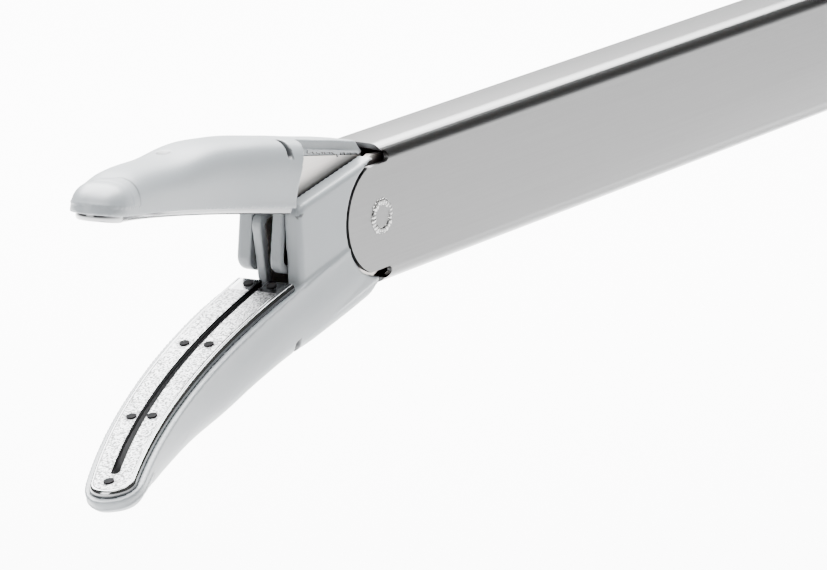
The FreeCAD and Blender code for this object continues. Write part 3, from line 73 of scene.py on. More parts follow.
# %% Camera
VIEW_FROM = Vector((369.42, 263.07, 107.18)) * MM
VIEW_RIGHT = Vector((-0.564374, 0.824926, -0.031292)).normalized()
VIEW_ALONG = Vector((-0.796247, -0.553975, -0.243109)).normalized()
FRAME_WIDTH, FOCAL_PIXELS, SENSOR = 827, 5538.16, 36.0
NEAREST, FARTHEST = 0.01, 20.0

camera = bpy.data.objects.new("Camera", bpy.data.cameras.new("Camera"))
bpy.context.scene.collection.objects.link(camera)
camera.data.sensor_width = SENSOR
camera.data.lens = FOCAL_PIXELS / FRAME_WIDTH * SENSOR
camera.data.clip_start, camera.data.clip_end = NEAREST, FARTHEST
right = (VIEW_RIGHT - VIEW_ALONG * VIEW_RIGHT.dot(VIEW_ALONG)).normalized()
up = right.cross(VIEW_ALONG)
camera.matrix_world = Matrix((
    (right.x, up.x, -VIEW_ALONG.x, VIEW_FROM.x),
    (right.y, up.y, -VIEW_ALONG.y, VIEW_FROM.y),
    (right.z, up.z, -VIEW_ALONG.z, VIEW_FROM.z),
    (0, 0, 0, 1),
))
bpy.context.scene.camera = camera
print("lens", round(camera.data.lens, 1), "mm")

# %% [markdown]
# Product photographs of steel are lit by large soft boxes, because metal shows what it mirrors. One big panel
# hangs above the jaws. One hangs over the floor behind them and shines straight down, which makes the
# background nearly white. A small one stands in front, to light the faces that look forward. The pale world
# fills the rest.

# %% Lights


def panel(name, spot, aim, side, watts):
    """A square area light at a spot, turned to look at an aim."""
    light = bpy.data.lights.new(name, "AREA")
    light.shape, light.size, light.energy = "SQUARE", side, watts
    lamp = bpy.data.objects.new(name, light)
    bpy.context.scene.collection.objects.link(lamp)
    way = Vector(aim) - Vector(spot)
    lamp.matrix_world = Matrix.Translation(spot) @ way.to_track_quat("-Z", "Y").to_matrix().to_4x4()
    return lamp


JAWS, BACKDROP = (0.02, 0.0, 0.0), (-0.46, -0.36, 0.0)
lamps = [
    panel("PanelAbove", (0.05, 0.05, 0.80), JAWS, 0.8, 17.0),
    panel("PanelBackdrop", (-0.46, -0.36, 0.50), BACKDROP, 0.9, 80.0),
    panel("PanelFront", (0.75, -0.10, 0.25), JAWS, 0.5, 6.0),
]

WHITE, WORLD_STRENGTH = (1.0, 1.0, 1.0, 1.0), 0.16
world = bpy.data.worlds.new("World")
bpy.context.scene.world = world
world.use_nodes = True
world.node_tree.nodes["Background"].inputs["Color"].default_value = WHITE
world.node_tree.nodes["Background"].inputs["Strength"].default_value = WORLD_STRENGTH
print("panels:", [lamp.name for lamp in lamps])

# %% [markdown]
# The floor is one plain sheet at the level of the lowest piece. It is stage, not part of the object.

# %% Floor
FLOOR_HALF = 6.0
floor_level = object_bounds()[0][2]
floor_mesh = bpy.data.meshes.new("Floor")
corners = [(x * FLOOR_HALF, y * FLOOR_HALF, floor_level) for x, y in ((-1, -1), (1, -1), (1, 1), (-1, 1))]
floor_mesh.from_pydata(corners, [], [(0, 1, 2, 3)])
floor = bpy.data.objects.new("Floor", floor_mesh)
bpy.context.scene.collection.objects.link(floor)
print("floor level", round(floor_level / MM, 1), "mm")

# %% [markdown]
# A finish is a Principled shader and, where the surface has a grain, a bump made from noise. Noise is read in
# Object coordinates, so the grain has a real size. Stretching it along one axis turns it into brush marks.

# %% Finishes
METAL, PLASTIC = 1.0, 0.0
EVEN, BRUSHED = (1, 1, 1), (120, 1, 1)
NOISE_DETAIL = 3.0


def finish(name, colour, metal, rough, grain=None, stretch=EVEN, depth=0.0, mottle=0.0):
    """A surface finish. grain is the size of its bumps in millimetres and depth their height. stretch makes
    them longer along an axis, and mottle is how much the colour varies between them."""
    look = bpy.data.materials.new(name)
    look.use_nodes = True
    nodes, links = look.node_tree.nodes, look.node_tree.links
    shader = nodes["Principled BSDF"]
    shader.inputs["Base Color"].default_value = (*colour, 1.0)
    shader.inputs["Metallic"].default_value = metal
    shader.inputs["Roughness"].default_value = rough
    if grain is None:
        return look
    place = nodes.new("ShaderNodeTexCoord")
    scale = nodes.new("ShaderNodeMapping")
    scale.inputs["Scale"].default_value = [1.0 / (grain * MM * longer) for longer in stretch]
    noise = nodes.new("ShaderNodeTexNoise")
    noise.inputs["Scale"].default_value = 1.0
    noise.inputs["Detail"].default_value = NOISE_DETAIL
    links.new(place.outputs["Object"], scale.inputs["Vector"])
    links.new(scale.outputs["Vector"], noise.inputs["Vector"])
    if depth:
        bump = nodes.new("ShaderNodeBump")
        bump.inputs["Distance"].default_value = depth * MM
        links.new(noise.outputs["Fac"], bump.inputs["Height"])
        links.new(bump.outputs["Normal"], shader.inputs["Normal"])
    if mottle:
        mix = nodes.new("ShaderNodeMix")
        mix.data_type = "RGBA"
        mix.inputs["A"].default_value = (*[c * (1 - mottle) for c in colour], 1.0)
        mix.inputs["B"].default_value = (*[min(1, c * (1 + mottle)) for c in colour], 1.0)
        links.new(noise.outputs["Fac"], mix.inputs["Factor"])
        links.new(mix.outputs["Result"], shader.inputs["Base Color"])
    return look


LOOKS = {
    "shaft_steel": finish("ShaftSteel", (0.13, 0.13, 0.13), METAL, 0.30, 0.12, BRUSHED, 0.002, 0.08),
    "flange_steel": finish("FlangeSteel", (0.52, 0.495, 0.47), METAL, 0.38, 0.10, BRUSHED, 0.003, 0.1),
    "inner_steel": finish("InnerSteel", (0.50, 0.50, 0.51), METAL, 0.25, 0.2, BRUSHED, 0.003),
    "weld": finish("WeldSteel", (0.42, 0.42, 0.41), METAL, 0.34, 0.2, EVEN, 0.03, 0.2),
    "jaw_plastic": finish("JawPlastic", (0.195, 0.210, 0.221), PLASTIC, 0.42, 0.4, EVEN, 0.004),
    "housing_plastic": finish("HousingPlastic", (0.23, 0.24, 0.25), PLASTIC, 0.42, 0.6, EVEN, 0.02),
    "control_plastic": finish("ControlPlastic", (0.014, 0.021, 0.034), PLASTIC, 0.45, 0.6, EVEN, 0.02),
    # The insulators' near-black is painted shade for the gap and slot where they show
    "insulator": finish("InsulatorShade", (0.02, 0.021, 0.022), PLASTIC, 0.5),
    "stop_bead": finish("StopBead", (0.012, 0.012, 0.013), PLASTIC, 0.9),
    "inner_plastic": finish("InnerPlastic", (0.05, 0.055, 0.06), PLASTIC, 0.5),
    "lead_coat": finish("LeadCoat", (0.02, 0.02, 0.022), PLASTIC, 0.6),
    "button_plastic": finish("ButtonPlastic", (0.07, 0.09, 0.26), PLASTIC, 0.22),
    "board": finish("BoardLacquer", (0.01, 0.08, 0.03), PLASTIC, 0.3),
    "floor": finish("FloorPaper", (0.92, 0.92, 0.92), PLASTIC, 0.9),
}
floor.data.materials.append(LOOKS["floor"])
# The stops are the dullest plastic here, so they mirror the least
STOP_MIRROR = 0.08
stop_shader = LOOKS["stop_bead"].node_tree.nodes["Principled BSDF"]
stop_shader.inputs["Specular IOR Level"].default_value = STOP_MIRROR
print("finishes:", len(LOOKS))

# %% [markdown]
# The seal plates need a finish that changes over one piece: blasted on the face, polished on the rim,
# with painted shade in the crevices. The mesh carries two numbers for each vertex, stipple and shade, and
# the finish reads them. Where it is blasted, a fine noise drives the bump and also paints the pits darker,
# as painted reflection, since a pit mirrors its own wall.

# %% Finish of the seal plates
PIT_SIZE, PIT_DEPTH, PIT_DARK = 0.18, 0.04, 0.10
PIT_LOW, PIT_HIGH = 0.44, 0.58
POLISHED, BLASTED = 0.16, 0.42


def seal_finish(bright, dark):
    """Polished steel, stippled where the attribute stipple is 1 and dark where the attribute shade is 1."""
    look = finish("SealFace", bright, METAL, POLISHED)
    nodes, links = look.node_tree.nodes, look.node_tree.links
    shader = nodes["Principled BSDF"]
    stipple, shade = nodes.new("ShaderNodeAttribute"), nodes.new("ShaderNodeAttribute")
    stipple.attribute_name, shade.attribute_name = "stipple", "shade"
    place, grains = nodes.new("ShaderNodeTexCoord"), nodes.new("ShaderNodeTexNoise")
    grains.inputs["Scale"].default_value = 1.0 / (PIT_SIZE * MM)
    grains.inputs["Detail"].default_value = 1.0
    links.new(place.outputs["Object"], grains.inputs["Vector"])
    rough = nodes.new("ShaderNodeMapRange")
    rough.inputs["To Min"].default_value, rough.inputs["To Max"].default_value = POLISHED, BLASTED
    links.new(stipple.outputs["Fac"], rough.inputs["Value"])
    links.new(rough.outputs["Result"], shader.inputs["Roughness"])
    bump = nodes.new("ShaderNodeBump")
    bump.inputs["Distance"].default_value = PIT_DEPTH * MM
    links.new(stipple.outputs["Fac"], bump.inputs["Strength"])
    links.new(grains.outputs["Fac"], bump.inputs["Height"])
    links.new(bump.outputs["Normal"], shader.inputs["Normal"])
    spread = nodes.new("ShaderNodeMapRange")
    spread.inputs["From Min"].default_value, spread.inputs["From Max"].default_value = PIT_LOW, PIT_HIGH
    links.new(grains.outputs["Fac"], spread.inputs["Value"])
    speck = nodes.new("ShaderNodeMath")
    speck.operation = "MULTIPLY"
    links.new(spread.outputs["Result"], speck.inputs[0])
    links.new(stipple.outputs["Fac"], speck.inputs[1])
    # The first mix paints the pits darker, as painted reflection; the second paints shade where the attribute
    # shade is 1
    pits, shade_mix = nodes.new("ShaderNodeMix"), nodes.new("ShaderNodeMix")
    pits.data_type = shade_mix.data_type = "RGBA"
    pits.inputs["A"].default_value = (*bright, 1.0)
    pits.inputs["B"].default_value = (*[PIT_DARK * c for c in bright], 1.0)
    links.new(speck.outputs["Value"], pits.inputs["Factor"])
    links.new(pits.outputs["Result"], shade_mix.inputs["A"])
    shade_mix.inputs["B"].default_value = (*dark, 1.0)
    links.new(shade.outputs["Fac"], shade_mix.inputs["Factor"])
    links.new(shade_mix.outputs["Result"], shader.inputs["Base Color"])
    return look


# The second colour is the painted shade in the plate's crevices and round its stops, and also darkens its pads
LOOKS["seal_steel"] = seal_finish((0.33, 0.334, 0.338), (0.03, 0.03, 0.033))
print("seal plates:", LOOKS["seal_steel"].name)

# %% [markdown]
# Shade falls in grooves, seams and under edges, and these finishes paint it in. A copy of a finish goes
# dark in one of two ways: where the mesh's shade number says so, or on one side of a plane. The plane
# paints shade into the seam between the housing's halves, and onto the flange below the upper cover's
# edge.

# %% Finishes with painted shade


def darkened(look, name, dark, reach=None):
    """A finish with painted shade: dark where the attribute shade is 1, or, given reach, up to a plane. reach
    is a direction and the two distances along it, in millimetres, between which the dark fades away."""
    deep = look.copy()
    deep.name = name
    nodes, links = deep.node_tree.nodes, deep.node_tree.links
    colour = nodes["Principled BSDF"].inputs["Base Color"]
    mix = nodes.new("ShaderNodeMix")
    mix.data_type = "RGBA"
    if colour.is_linked:
        links.new(colour.links[0].from_socket, mix.inputs["A"])
    else:
        mix.inputs["A"].default_value = colour.default_value
    mix.inputs["B"].default_value = (*dark, 1.0)
    if reach is None:
        shade = nodes.new("ShaderNodeAttribute")
        shade.attribute_name = "shade"
        links.new(shade.outputs["Fac"], mix.inputs["Factor"])
    else:
        way, near, far = reach
        place, along = nodes.new("ShaderNodeTexCoord"), nodes.new("ShaderNodeVectorMath")
        fade = nodes.new("ShaderNodeMapRange")
        along.operation, fade.interpolation_type = "DOT_PRODUCT", "SMOOTHSTEP"
        along.inputs[1].default_value = way
        fade.inputs["From Min"].default_value, fade.inputs["From Max"].default_value = near * MM, far * MM
        fade.inputs["To Min"].default_value, fade.inputs["To Max"].default_value = 1.0, 0.0
        links.new(place.outputs["Object"], along.inputs[0])
        links.new(along.outputs["Value"], fade.inputs["Value"])
        links.new(fade.outputs["Result"], mix.inputs["Factor"])
    links.new(mix.outputs["Result"], colour)
    return deep


# These dark colours are painted shade: for the covers' creases, the flange under the cover and the housing's
# seam
PLASTIC_SHADE, STEEL_SHADE, SEAM_SHADE = (0.02, 0.021, 0.022), (0.012, 0.011, 0.010), (0.02, 0.021, 0.023)
FLANGE_UP, SHADOW_NEAR, SHADOW_FAR = (0.212, 0.0, 0.977), 5.0, 6.2
SEAM_NEAR, SEAM_FAR = 0.03, 0.3
COVER_PLASTIC_SHADED = darkened(LOOKS["jaw_plastic"], "CoverPlasticShaded", PLASTIC_SHADE)
# Painted shadow on the upper flange under the cover's edge: dark below 5 mm along FLANGE_UP, gone by 6.2 mm
FLANGE_SHADOW = darkened(
    LOOKS["flange_steel"], "FlangeShadow", STEEL_SHADE, (FLANGE_UP, SHADOW_NEAR, SHADOW_FAR)
)
# Painted shade in the seam: each housing half is dark within 0.03 mm of the middle and clean past 0.3 mm
HOUSING_SEAM_SHADE = {
    side: darkened(LOOKS["housing_plastic"], f"HousingSeamShade{side}", SEAM_SHADE, (way, SEAM_NEAR, SEAM_FAR))
    for side, way in (("Left", (0.0, 1.0, 0.0)), ("Right", (0.0, -1.0, 0.0)))
}
print("dark places:", COVER_PLASTIC_SHADED.name, FLANGE_SHADOW.name, *[look.name for look in HOUSING_SEAM_SHADE.values()])

# %% [markdown]
# A CAD file stores a curved surface as flat triangles that share no corners. Merging the corners and melting
# triangles that lie in one plane gives back whole faces. Then a narrow bevel rounds each sharp edge, because
# the thin line of light on an edge is what makes a part look machined or moulded rather than drawn.

# %% Rounded copies of the CAD pieces
MERGE, FLAT, SHARP = 1e-7, 0.01, 32


def melted(node, flat=FLAT):
    """A copy of a CAD node with its corners merged and its flat faces made whole, where flat is above 0."""
    source = frame["nodes"][node]
    copy = bpy.data.objects.new(node + "_skin", source.data.copy())
    bpy.context.scene.collection.objects.link(copy)
    mesh = bmesh.new()
    mesh.from_mesh(copy.data)
    bmesh.ops.remove_doubles(mesh, verts=mesh.verts, dist=MERGE)
    if flat:
        bmesh.ops.dissolve_limit(mesh, angle_limit=flat, verts=mesh.verts, edges=mesh.edges)
    mesh.to_mesh(copy.data)
    mesh.free()
    return copy


def dressed(copy, node, look=None):
    """Make a finished copy stand for its CAD node."""
    copy.data.materials.clear()
    copy.data.materials.append(look or LOOKS[slot_of[node]])
    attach(copy, body_of[node])
    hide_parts(node)
    return copy


def smooth_by_angle(copy, degrees):
    """Shade smooth, apart from edges sharper than an angle."""
    copy.data.shade_smooth()
    copy.data.set_sharp_from_angle(angle=np.radians(degrees))
    return copy


def rounded(node, width, look=None):
    """A copy whose edges are rounded by a bevel of a width in millimetres."""
    copy = smooth_by_angle(melted(node), SHARP)
    bevel = copy.modifiers.new("EdgeRound", "BEVEL")
    bevel.width, bevel.segments, bevel.limit_method = width * MM, 2, "ANGLE"
    bevel.angle_limit = np.radians(SHARP)
    bevel.harden_normals = True
    bevel.use_clamp_overlap = True
    return dressed(copy, node, look)


EDGE_ROUND = {
    "shaft_tube": 0.07, "upper_jaw_frame": 0.06, "lower_jaw_frame": 0.06, "knife_guide": 0.05,
    "housing_left": 0.3, "housing_right": 0.3, "cord_gland": 0.4,
}
EDGE_LOOK = {
    "upper_jaw_frame": FLANGE_SHADOW,
    "housing_left": HOUSING_SEAM_SHADE["Left"], "housing_right": HOUSING_SEAM_SHADE["Right"],
}
for node, width in EDGE_ROUND.items():
    rounded(node, width, EDGE_LOOK.get(node))
print("edges rounded:", list(EDGE_ROUND))

# %% [markdown]
# Plastic flows to a small radius everywhere, also inside corners, which a bevel can't do on a shape with many
# cuts. So a moulded piece is rebuilt from small voxels of one size and its corners are relaxed, like sanding:
# each vertex moves towards the mean of its neighbours. Every second pass pushes back out, so that the corners
# soften but the form doesn't shrink. The wider a voxel, the rounder the corner.

# %% Moulded controls
DRAW_IN, PUSH_OUT = 0.55, -0.57


def points_of(copy):
    """The vertices as one array."""
    flat = np.empty(len(copy.data.vertices) * 3, np.float32)
    copy.data.vertices.foreach_get("co", flat)
    return flat.reshape(-1, 3).astype(float)


def set_points(copy, points):
    """Put changed vertices back."""
    copy.data.vertices.foreach_set("co", points.astype(np.float32).ravel())
    copy.data.update()


def moulded(node, voxel, relax):
    """A copy rebuilt from voxels of a size in millimetres and relaxed a number of times."""
    copy = melted(node, 0.0)
    remesh = copy.modifiers.new("Voxels", "REMESH")
    remesh.mode, remesh.voxel_size = "VOXEL", voxel * MM
    bpy.context.view_layer.update()
    depsgraph = bpy.context.evaluated_depsgraph_get()
    rebuilt = bpy.data.meshes.new_from_object(copy.evaluated_get(depsgraph))
    copy.modifiers.clear()
    copy.data = rebuilt
    points = points_of(copy)
    edges = np.empty(len(rebuilt.edges) * 2, np.int64)
    rebuilt.edges.foreach_get("vertices", edges)
    near, far = edges.reshape(-1, 2).T
    count = np.bincount(np.concatenate([near, far]), minlength=len(points))[:, None]
    for step in range(relax):
        total = np.zeros_like(points)
        np.add.at(total, near, points[far])
        np.add.at(total, far, points[near])
        points += (DRAW_IN if step % 2 == 0 else PUSH_OUT) * (total / count - points)
    set_points(copy, points)
    copy.data.shade_smooth()
    print(node, len(rebuilt.polygons), "faces")
    return copy


CONTROLS = {"lever": (0.4, 14), "knife_trigger": (0.25, 14), "rotation_knob": (0.4, 8)}
for node, (voxel, relax) in CONTROLS.items():
    dressed(moulded(node, voxel, relax), node)

# %% [markdown]
# Both jaws follow one line: straight at first, then a wide arc. Pieces on a jaw are easiest to describe by
# how far they are along that line, how far beside it, and how deep below the face where the jaws meet. These
# three jaw numbers are in millimetres. One function turns them into a place on the swung-open jaw, in metres,
# and another goes back.

# %% Jaw coordinates
STRAIGHT, BEND_RADIUS = 11.16, 76.65
SWING = {"upper": -np.radians(12.25), "lower": np.radians(13.25)}
SIDE = {"upper": 1.0, "lower": -1.0}


def on_jaw(jaw, run, off, depth):
    """Places from jaw numbers. Past the straight part the line has turned by (run - straight) / radius. off
    is square to the line and depth points away from the other jaw. Then the jaw swings about the pivot."""
    turn = np.maximum(run - STRAIGHT, 0) / BEND_RADIUS
    x = np.minimum(run, STRAIGHT) + (BEND_RADIUS - off) * np.sin(turn)
    y = BEND_RADIUS - (BEND_RADIUS - off) * np.cos(turn)
    z, swing = SIDE[jaw] * depth, SWING[jaw]
    ahead, above = x * np.cos(swing) + z * np.sin(swing), z * np.cos(swing) - x * np.sin(swing)
    return MM * np.stack([ahead, y, above], -1)


def jaw_numbers(jaw, places):
    """Run, off and depth of places: the way back."""
    swing, (px, py, pz) = SWING[jaw], (places / MM).T
    x = px * np.cos(swing) - pz * np.sin(swing)
    depth = SIDE[jaw] * (px * np.sin(swing) + pz * np.cos(swing))
    ahead, aside = np.maximum(x - STRAIGHT, 0), BEND_RADIUS - py
    bent = x > STRAIGHT
    run = np.where(bent, STRAIGHT + BEND_RADIUS * np.arctan2(ahead, aside), x)
    return run, np.where(bent, BEND_RADIUS - np.hypot(ahead, aside), py), depth


for jaw in SIDE:
    print(jaw, "jaw at run 40:", (on_jaw(jaw, 40.0, 0.0, 0.0) / MM).round(2), "mm")

# %% [markdown]
# New pieces are grids of places, worked out at once as arrays. One function joins a grid's neighbours into
# faces, closes what has to be closed and turns the normals outwards. Another keeps a number for each vertex.

# %% Surfaces from grids


def surface(name, grid, wrap=(False, False), caps=False, degrees=40):
    """A mesh over a grid of places of shape (rows, columns, 3). wrap joins the last row or column to the
    first, and caps close the two ends of a tube of rows."""
    rows, columns = grid.shape[:2]
    index = np.arange(rows * columns).reshape(rows, columns)
    ends = [index[0, ::-1].tolist(), index[-1].tolist()] if caps else []
    if wrap[0]:
        index = np.concatenate([index, index[:1]], 0)
    if wrap[1]:
        index = np.concatenate([index, index[:, :1]], 1)
    quads = np.stack([index[:-1, :-1], index[1:, :-1], index[1:, 1:], index[:-1, 1:]], -1).reshape(-1, 4)
    mesh = bpy.data.meshes.new(name)
    mesh.from_pydata(grid.reshape(-1, 3).tolist(), [], quads.tolist() + ends)
    turned = bmesh.new()
    turned.from_mesh(mesh)
    bmesh.ops.recalc_face_normals(turned, faces=turned.faces)
    turned.to_mesh(mesh)
    turned.free()
    piece = bpy.data.objects.new(name, mesh)
    bpy.context.scene.collection.objects.link(piece)
    print(name, len(quads), "faces")
    return smooth_by_angle(piece, degrees)


def paint(piece, name, values):
    """Keep one number per vertex under a name that a material can read."""
    layer = piece.data.attributes.new(name, "FLOAT", "POINT")
    layer.data.foreach_set("value", np.clip(values, 0, 1).astype(np.float32).ravel())


print("helpers for new pieces:", surface.__name__, paint.__name__)

# %% [markdown]
# The covers carry the small marks of their mould: a cap over the nose that stands a hair proud, an oval
# dimple, a groove near the heel and a witness dot. Each is a push of the points along their normals, or
# painted shade where a crease or hollow would hold it: along the cap's edge, in the groove, the dimple and
# an arc on the lower cover. The dot is only painted dark. All are worked out from the jaw numbers of every
# point at once.

# %% Moulded covers and their marks
COVER_VOXEL, COVER_RELAX = 0.13, 8
CAP_RUN, CAP_LEAN, CAP_TURN, CAP_STEP, CAP_PROUD = 44.5, 1.1, 0.9, 0.08, 0.07
SEAM_WIDTH, SEAM_FROM = 0.26, 43.0
RIM_DEPTH, NOSE_CUT, NOSE_RUN, RIDGE = 1.3, 0.05, (46.5, 47.0), (1.35, 1.6)
GROOVE_RUN, GROOVE_HALF, GROOVE_DEPTH, GROOVE_OFF = 14.25, 0.42, 4.65, 1.6
DIMPLE, DIMPLE_SIZE, DIMPLE_DEPTH = (30.2, -0.36, 4.9), (0.95, 0.6, 1.2), 0.13
ARC_MARK, ARC_SIZE = (10.75, 3.0, -5.0), (0.45, 0.5, 0.12)
WITNESS_DOT, DOT_SIZE = (44.1, 2.3, 2.2), (0.18, 0.6, 0.5)
DIMPLE_FLOOR = 0.2
# How dark the marks are painted: shade in the groove, dimple and arc, and the dot is painted dark
MARK_DARK = {"groove": 0.8, "dimple": 0.75, "arc": 0.75, "dot": 0.6}


def smooth_step(values, low, high):
    """0 below low, 1 above high and an even S between."""
    share = np.clip((values - low) / (high - low), 0, 1)
    return share * share * (3 - 2 * share)


def normals_of(piece):
    """The vertex normals as one array."""
    flat = np.empty(len(piece.data.vertices) * 3, np.float32)
    piece.data.vertices.foreach_get("normal", flat)
    return flat.reshape(-1, 3).astype(float)


def oval(numbers, centre, sizes):
    """1 at the middle of an oval mark, 0 at its edge and beyond."""
    far = sum(((value - middle) / size) ** 2 for value, middle, size in zip(numbers, centre, sizes))
    return np.clip(1 - far, 0, 1)


def marked_cover(jaw):
    """The moulded cover with its marks. The cap's edge runs across the nose: further out on the far side."""
    cover = moulded(f"{jaw}_jaw_cover", COVER_VOXEL, COVER_RELAX)
    places = points_of(cover)
    numbers = run, off, depth = jaw_numbers(jaw, places)
    past_cap = run - CAP_RUN - CAP_LEAN * np.maximum(CAP_TURN - off, 0)
    outside = depth > RIM_DEPTH
    push = CAP_PROUD * smooth_step(past_cap, -CAP_STEP, CAP_STEP) * outside
    push -= NOSE_CUT * smooth_step(run, *NOSE_RUN) * smooth_step(depth, *RIDGE)
    # Painted shade along the cap's edge and in the groove, dimple and arc; the dot is only painted dark
    seam = np.exp(-((past_cap / SEAM_WIDTH) ** 2)) * outside * (run > SEAM_FROM)
    groove = (np.abs(run - GROOVE_RUN) < GROOVE_HALF) & (depth > GROOVE_DEPTH) & (off > GROOVE_OFF)
    painted_dark = [seam, MARK_DARK["groove"] * groove]
    if jaw == "upper":
        dimple = oval(numbers, DIMPLE, DIMPLE_SIZE)
        push -= DIMPLE_DEPTH * dimple
        painted_dark.append(MARK_DARK["dimple"] * (dimple > DIMPLE_FLOOR))
    else:
        painted_dark.append(MARK_DARK["arc"] * (oval(numbers, ARC_MARK, ARC_SIZE) > 0))
        painted_dark.append(MARK_DARK["dot"] * (oval(numbers, WITNESS_DOT, DOT_SIZE) > 0))
    paint(cover, "shade", np.max(painted_dark, 0))
    set_points(cover, places + MM * normals_of(cover) * push[:, None])
    return cover


for jaw in SIDE:
    dressed(marked_cover(jaw), f"{jaw}_jaw_cover", COVER_PLASTIC_SHADED)

# %% [markdown]
# Where the mould closed on the steel flange, a ragged skin of plastic a few hundredths thick was left: flash.
# It is a thin strip whose lower edge follows a noise, laid on the flange along the cover's edge. The edge
# itself is stained dark, for the fine shadow that it throws.

# %% Flash on the upper flange
rng = np.random.default_rng(5)
FLANGE_SIDE, WEB_LEVEL = 2.1, 5.25
FLASH_ROWS, FLASH_FROM, FLASH_TO, FLASH_EDGE = 130, 3.0, 10.4, 0.08
FLASH_DROP, FLASH_RAG, LEAST_DROP, MOST_DROP = 0.12, 0.07, 0.03, 0.40
SPARE, COARSE, FINE, FINE_SHARE = 7, 7, 3, 0.5
ENDS_FROM, ENDS_TO, ENDS_POWER, EDGE_ROLL = 0.04, 0.96, 0.4, 0.1
# The section's six columns: how far each stands off the flange, and whether it carries painted shadow
FLASH_SIDES, FLASH_SHADE = np.array([-0.02, 0.10, 0.09, 0.085, 0.05, -0.02]), [0, 0, 0, 1, 1, 1]
TUCK = -0.1


def ragged():
    """A noise of one number per row: draws smoothed by a wide bell, plus half as much by a narrow one."""
    coarse = np.convolve(rng.normal(0, 1, FLASH_ROWS + 2 * SPARE), np.hanning(COARSE), "same")
    fine = np.convolve(rng.normal(0, 1, FLASH_ROWS + 2 * SPARE), np.hanning(FINE), "same")
    return (coarse + FINE_SHARE * fine)[SPARE:-SPARE]


def flash():
    """u runs along the cover's edge and v round a flat section: under the cover, down the face, and back
    along the flange. How far it hangs down is a mean plus the noise, and less at both ends."""
    along = np.linspace(FLASH_FROM, FLASH_TO, FLASH_ROWS)
    ends = np.sin(np.pi * np.linspace(ENDS_FROM, ENDS_TO, FLASH_ROWS)) ** ENDS_POWER
    drop = np.clip(FLASH_DROP + FLASH_RAG * ragged(), LEAST_DROP, MOST_DROP) * ends
    hidden, foot = np.full(FLASH_ROWS, TUCK), drop + FLASH_EDGE
    levels = np.stack([hidden, hidden, drop, drop + EDGE_ROLL * FLASH_EDGE, foot, foot], -1)
    places = on_jaw("upper", along[:, None], FLANGE_SIDE + FLASH_SIDES[None], WEB_LEVEL - levels)
    return surface("flash_skin", places, wrap=(False, True), caps=True, degrees=30)


skin = flash()
paint(skin, "shade", np.tile(FLASH_SHADE, FLASH_ROWS))
skin.data.materials.append(COVER_PLASTIC_SHADED)
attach(skin, "upper_jaw")

# %% [markdown]
# The seal plate is pressed from thin steel sheet. Its face is blasted to a fine stipple, a shallow groove
# runs round it, and outside the groove the rim is polished and rolls down into the plastic. The knife slot
# splits it lengthwise. So the surface follows the slot's edge: out along one side, round its end, and back
# along the other, with the section of the sheet carried along.

# %% Seal plates
PLATE_BASE, PLATE_SHOULDER, PLATE_HALF, PLATE_HALF_TIP = 13.1, 47.9, 2.9, 1.85
SLOT_HALF, SLOT_END, SLOT_LIP = 0.35, 46.8, 0.04
FACE_DEPTH, SHEET_FOOT, PLATE_FOOT, SHEET_IN = 0.06, 0.46, 1.16, 0.3
STEPS_ALONG, STEPS_ROUND, STEPS_ACROSS = 150, 37, 10
# The rim from the face outwards: how far in from the plate's edge, and how deep. The groove is at 0.4 mm.
RIM_SECTION = np.array([
    (0.50, 0.060), (0.465, 0.066), (0.43, 0.100), (0.395, 0.104), (0.36, 0.072), (0.30, 0.066),
    (0.22, 0.085), (0.14, 0.135), (0.07, 0.215), (0.02, 0.330), (0.0, 0.46),
])
# The slot's edge from the sheet's foot up to the face: how deep. The first two are the upright wall.
SLOT_SECTION, LIP_SHARE = [SHEET_FOOT, 0.10, 0.072, FACE_DEPTH], 0.3
# Where the stops stand, as run and off: two at the base, two and two along the slot, one at the nose
STOPS = [
    (13.9, 1.16), (13.9, -1.16), (24.7, 1.11), (24.7, -1.11), (37.2, 0.86), (37.2, -0.86), (48.0, -0.27),
]
PAD_END, PAD_HALF, HALO, HALO_FADE, DIM_TO, DIM_FADE = 15.0, 2.1, 0.85, 0.35, 24.0, 9.0
SKIRT_FROM, SKIRT_FADE, GROOVE_FROM, GROOVE_FADE, GROOVE_TO = 0.42, 0.08, 0.07, 0.03, 0.106
# How dark the plate is painted: shade round the stops, at the base, in the slot and the groove; the pads are
# painted dark
PLATE_DARK = {"halo": 0.6, "pad": 0.8, "base": 0.5, "slot": 0.9, "groove": 0.8}
TOUCH = 1e-6


def there_and_back(run, half, centre, radius):
    """A U of run and off: along one side at a half width, round an end of a radius, and back."""
    swing = np.linspace(0, np.pi, STEPS_ROUND + 2)[1:-1]
    half = np.broadcast_to(half, run.shape)
    return np.stack([np.concatenate([run, centre + radius * np.sin(swing), run[::-1]]),
                     np.concatenate([half, radius * np.cos(swing), -half[::-1]])], -1)


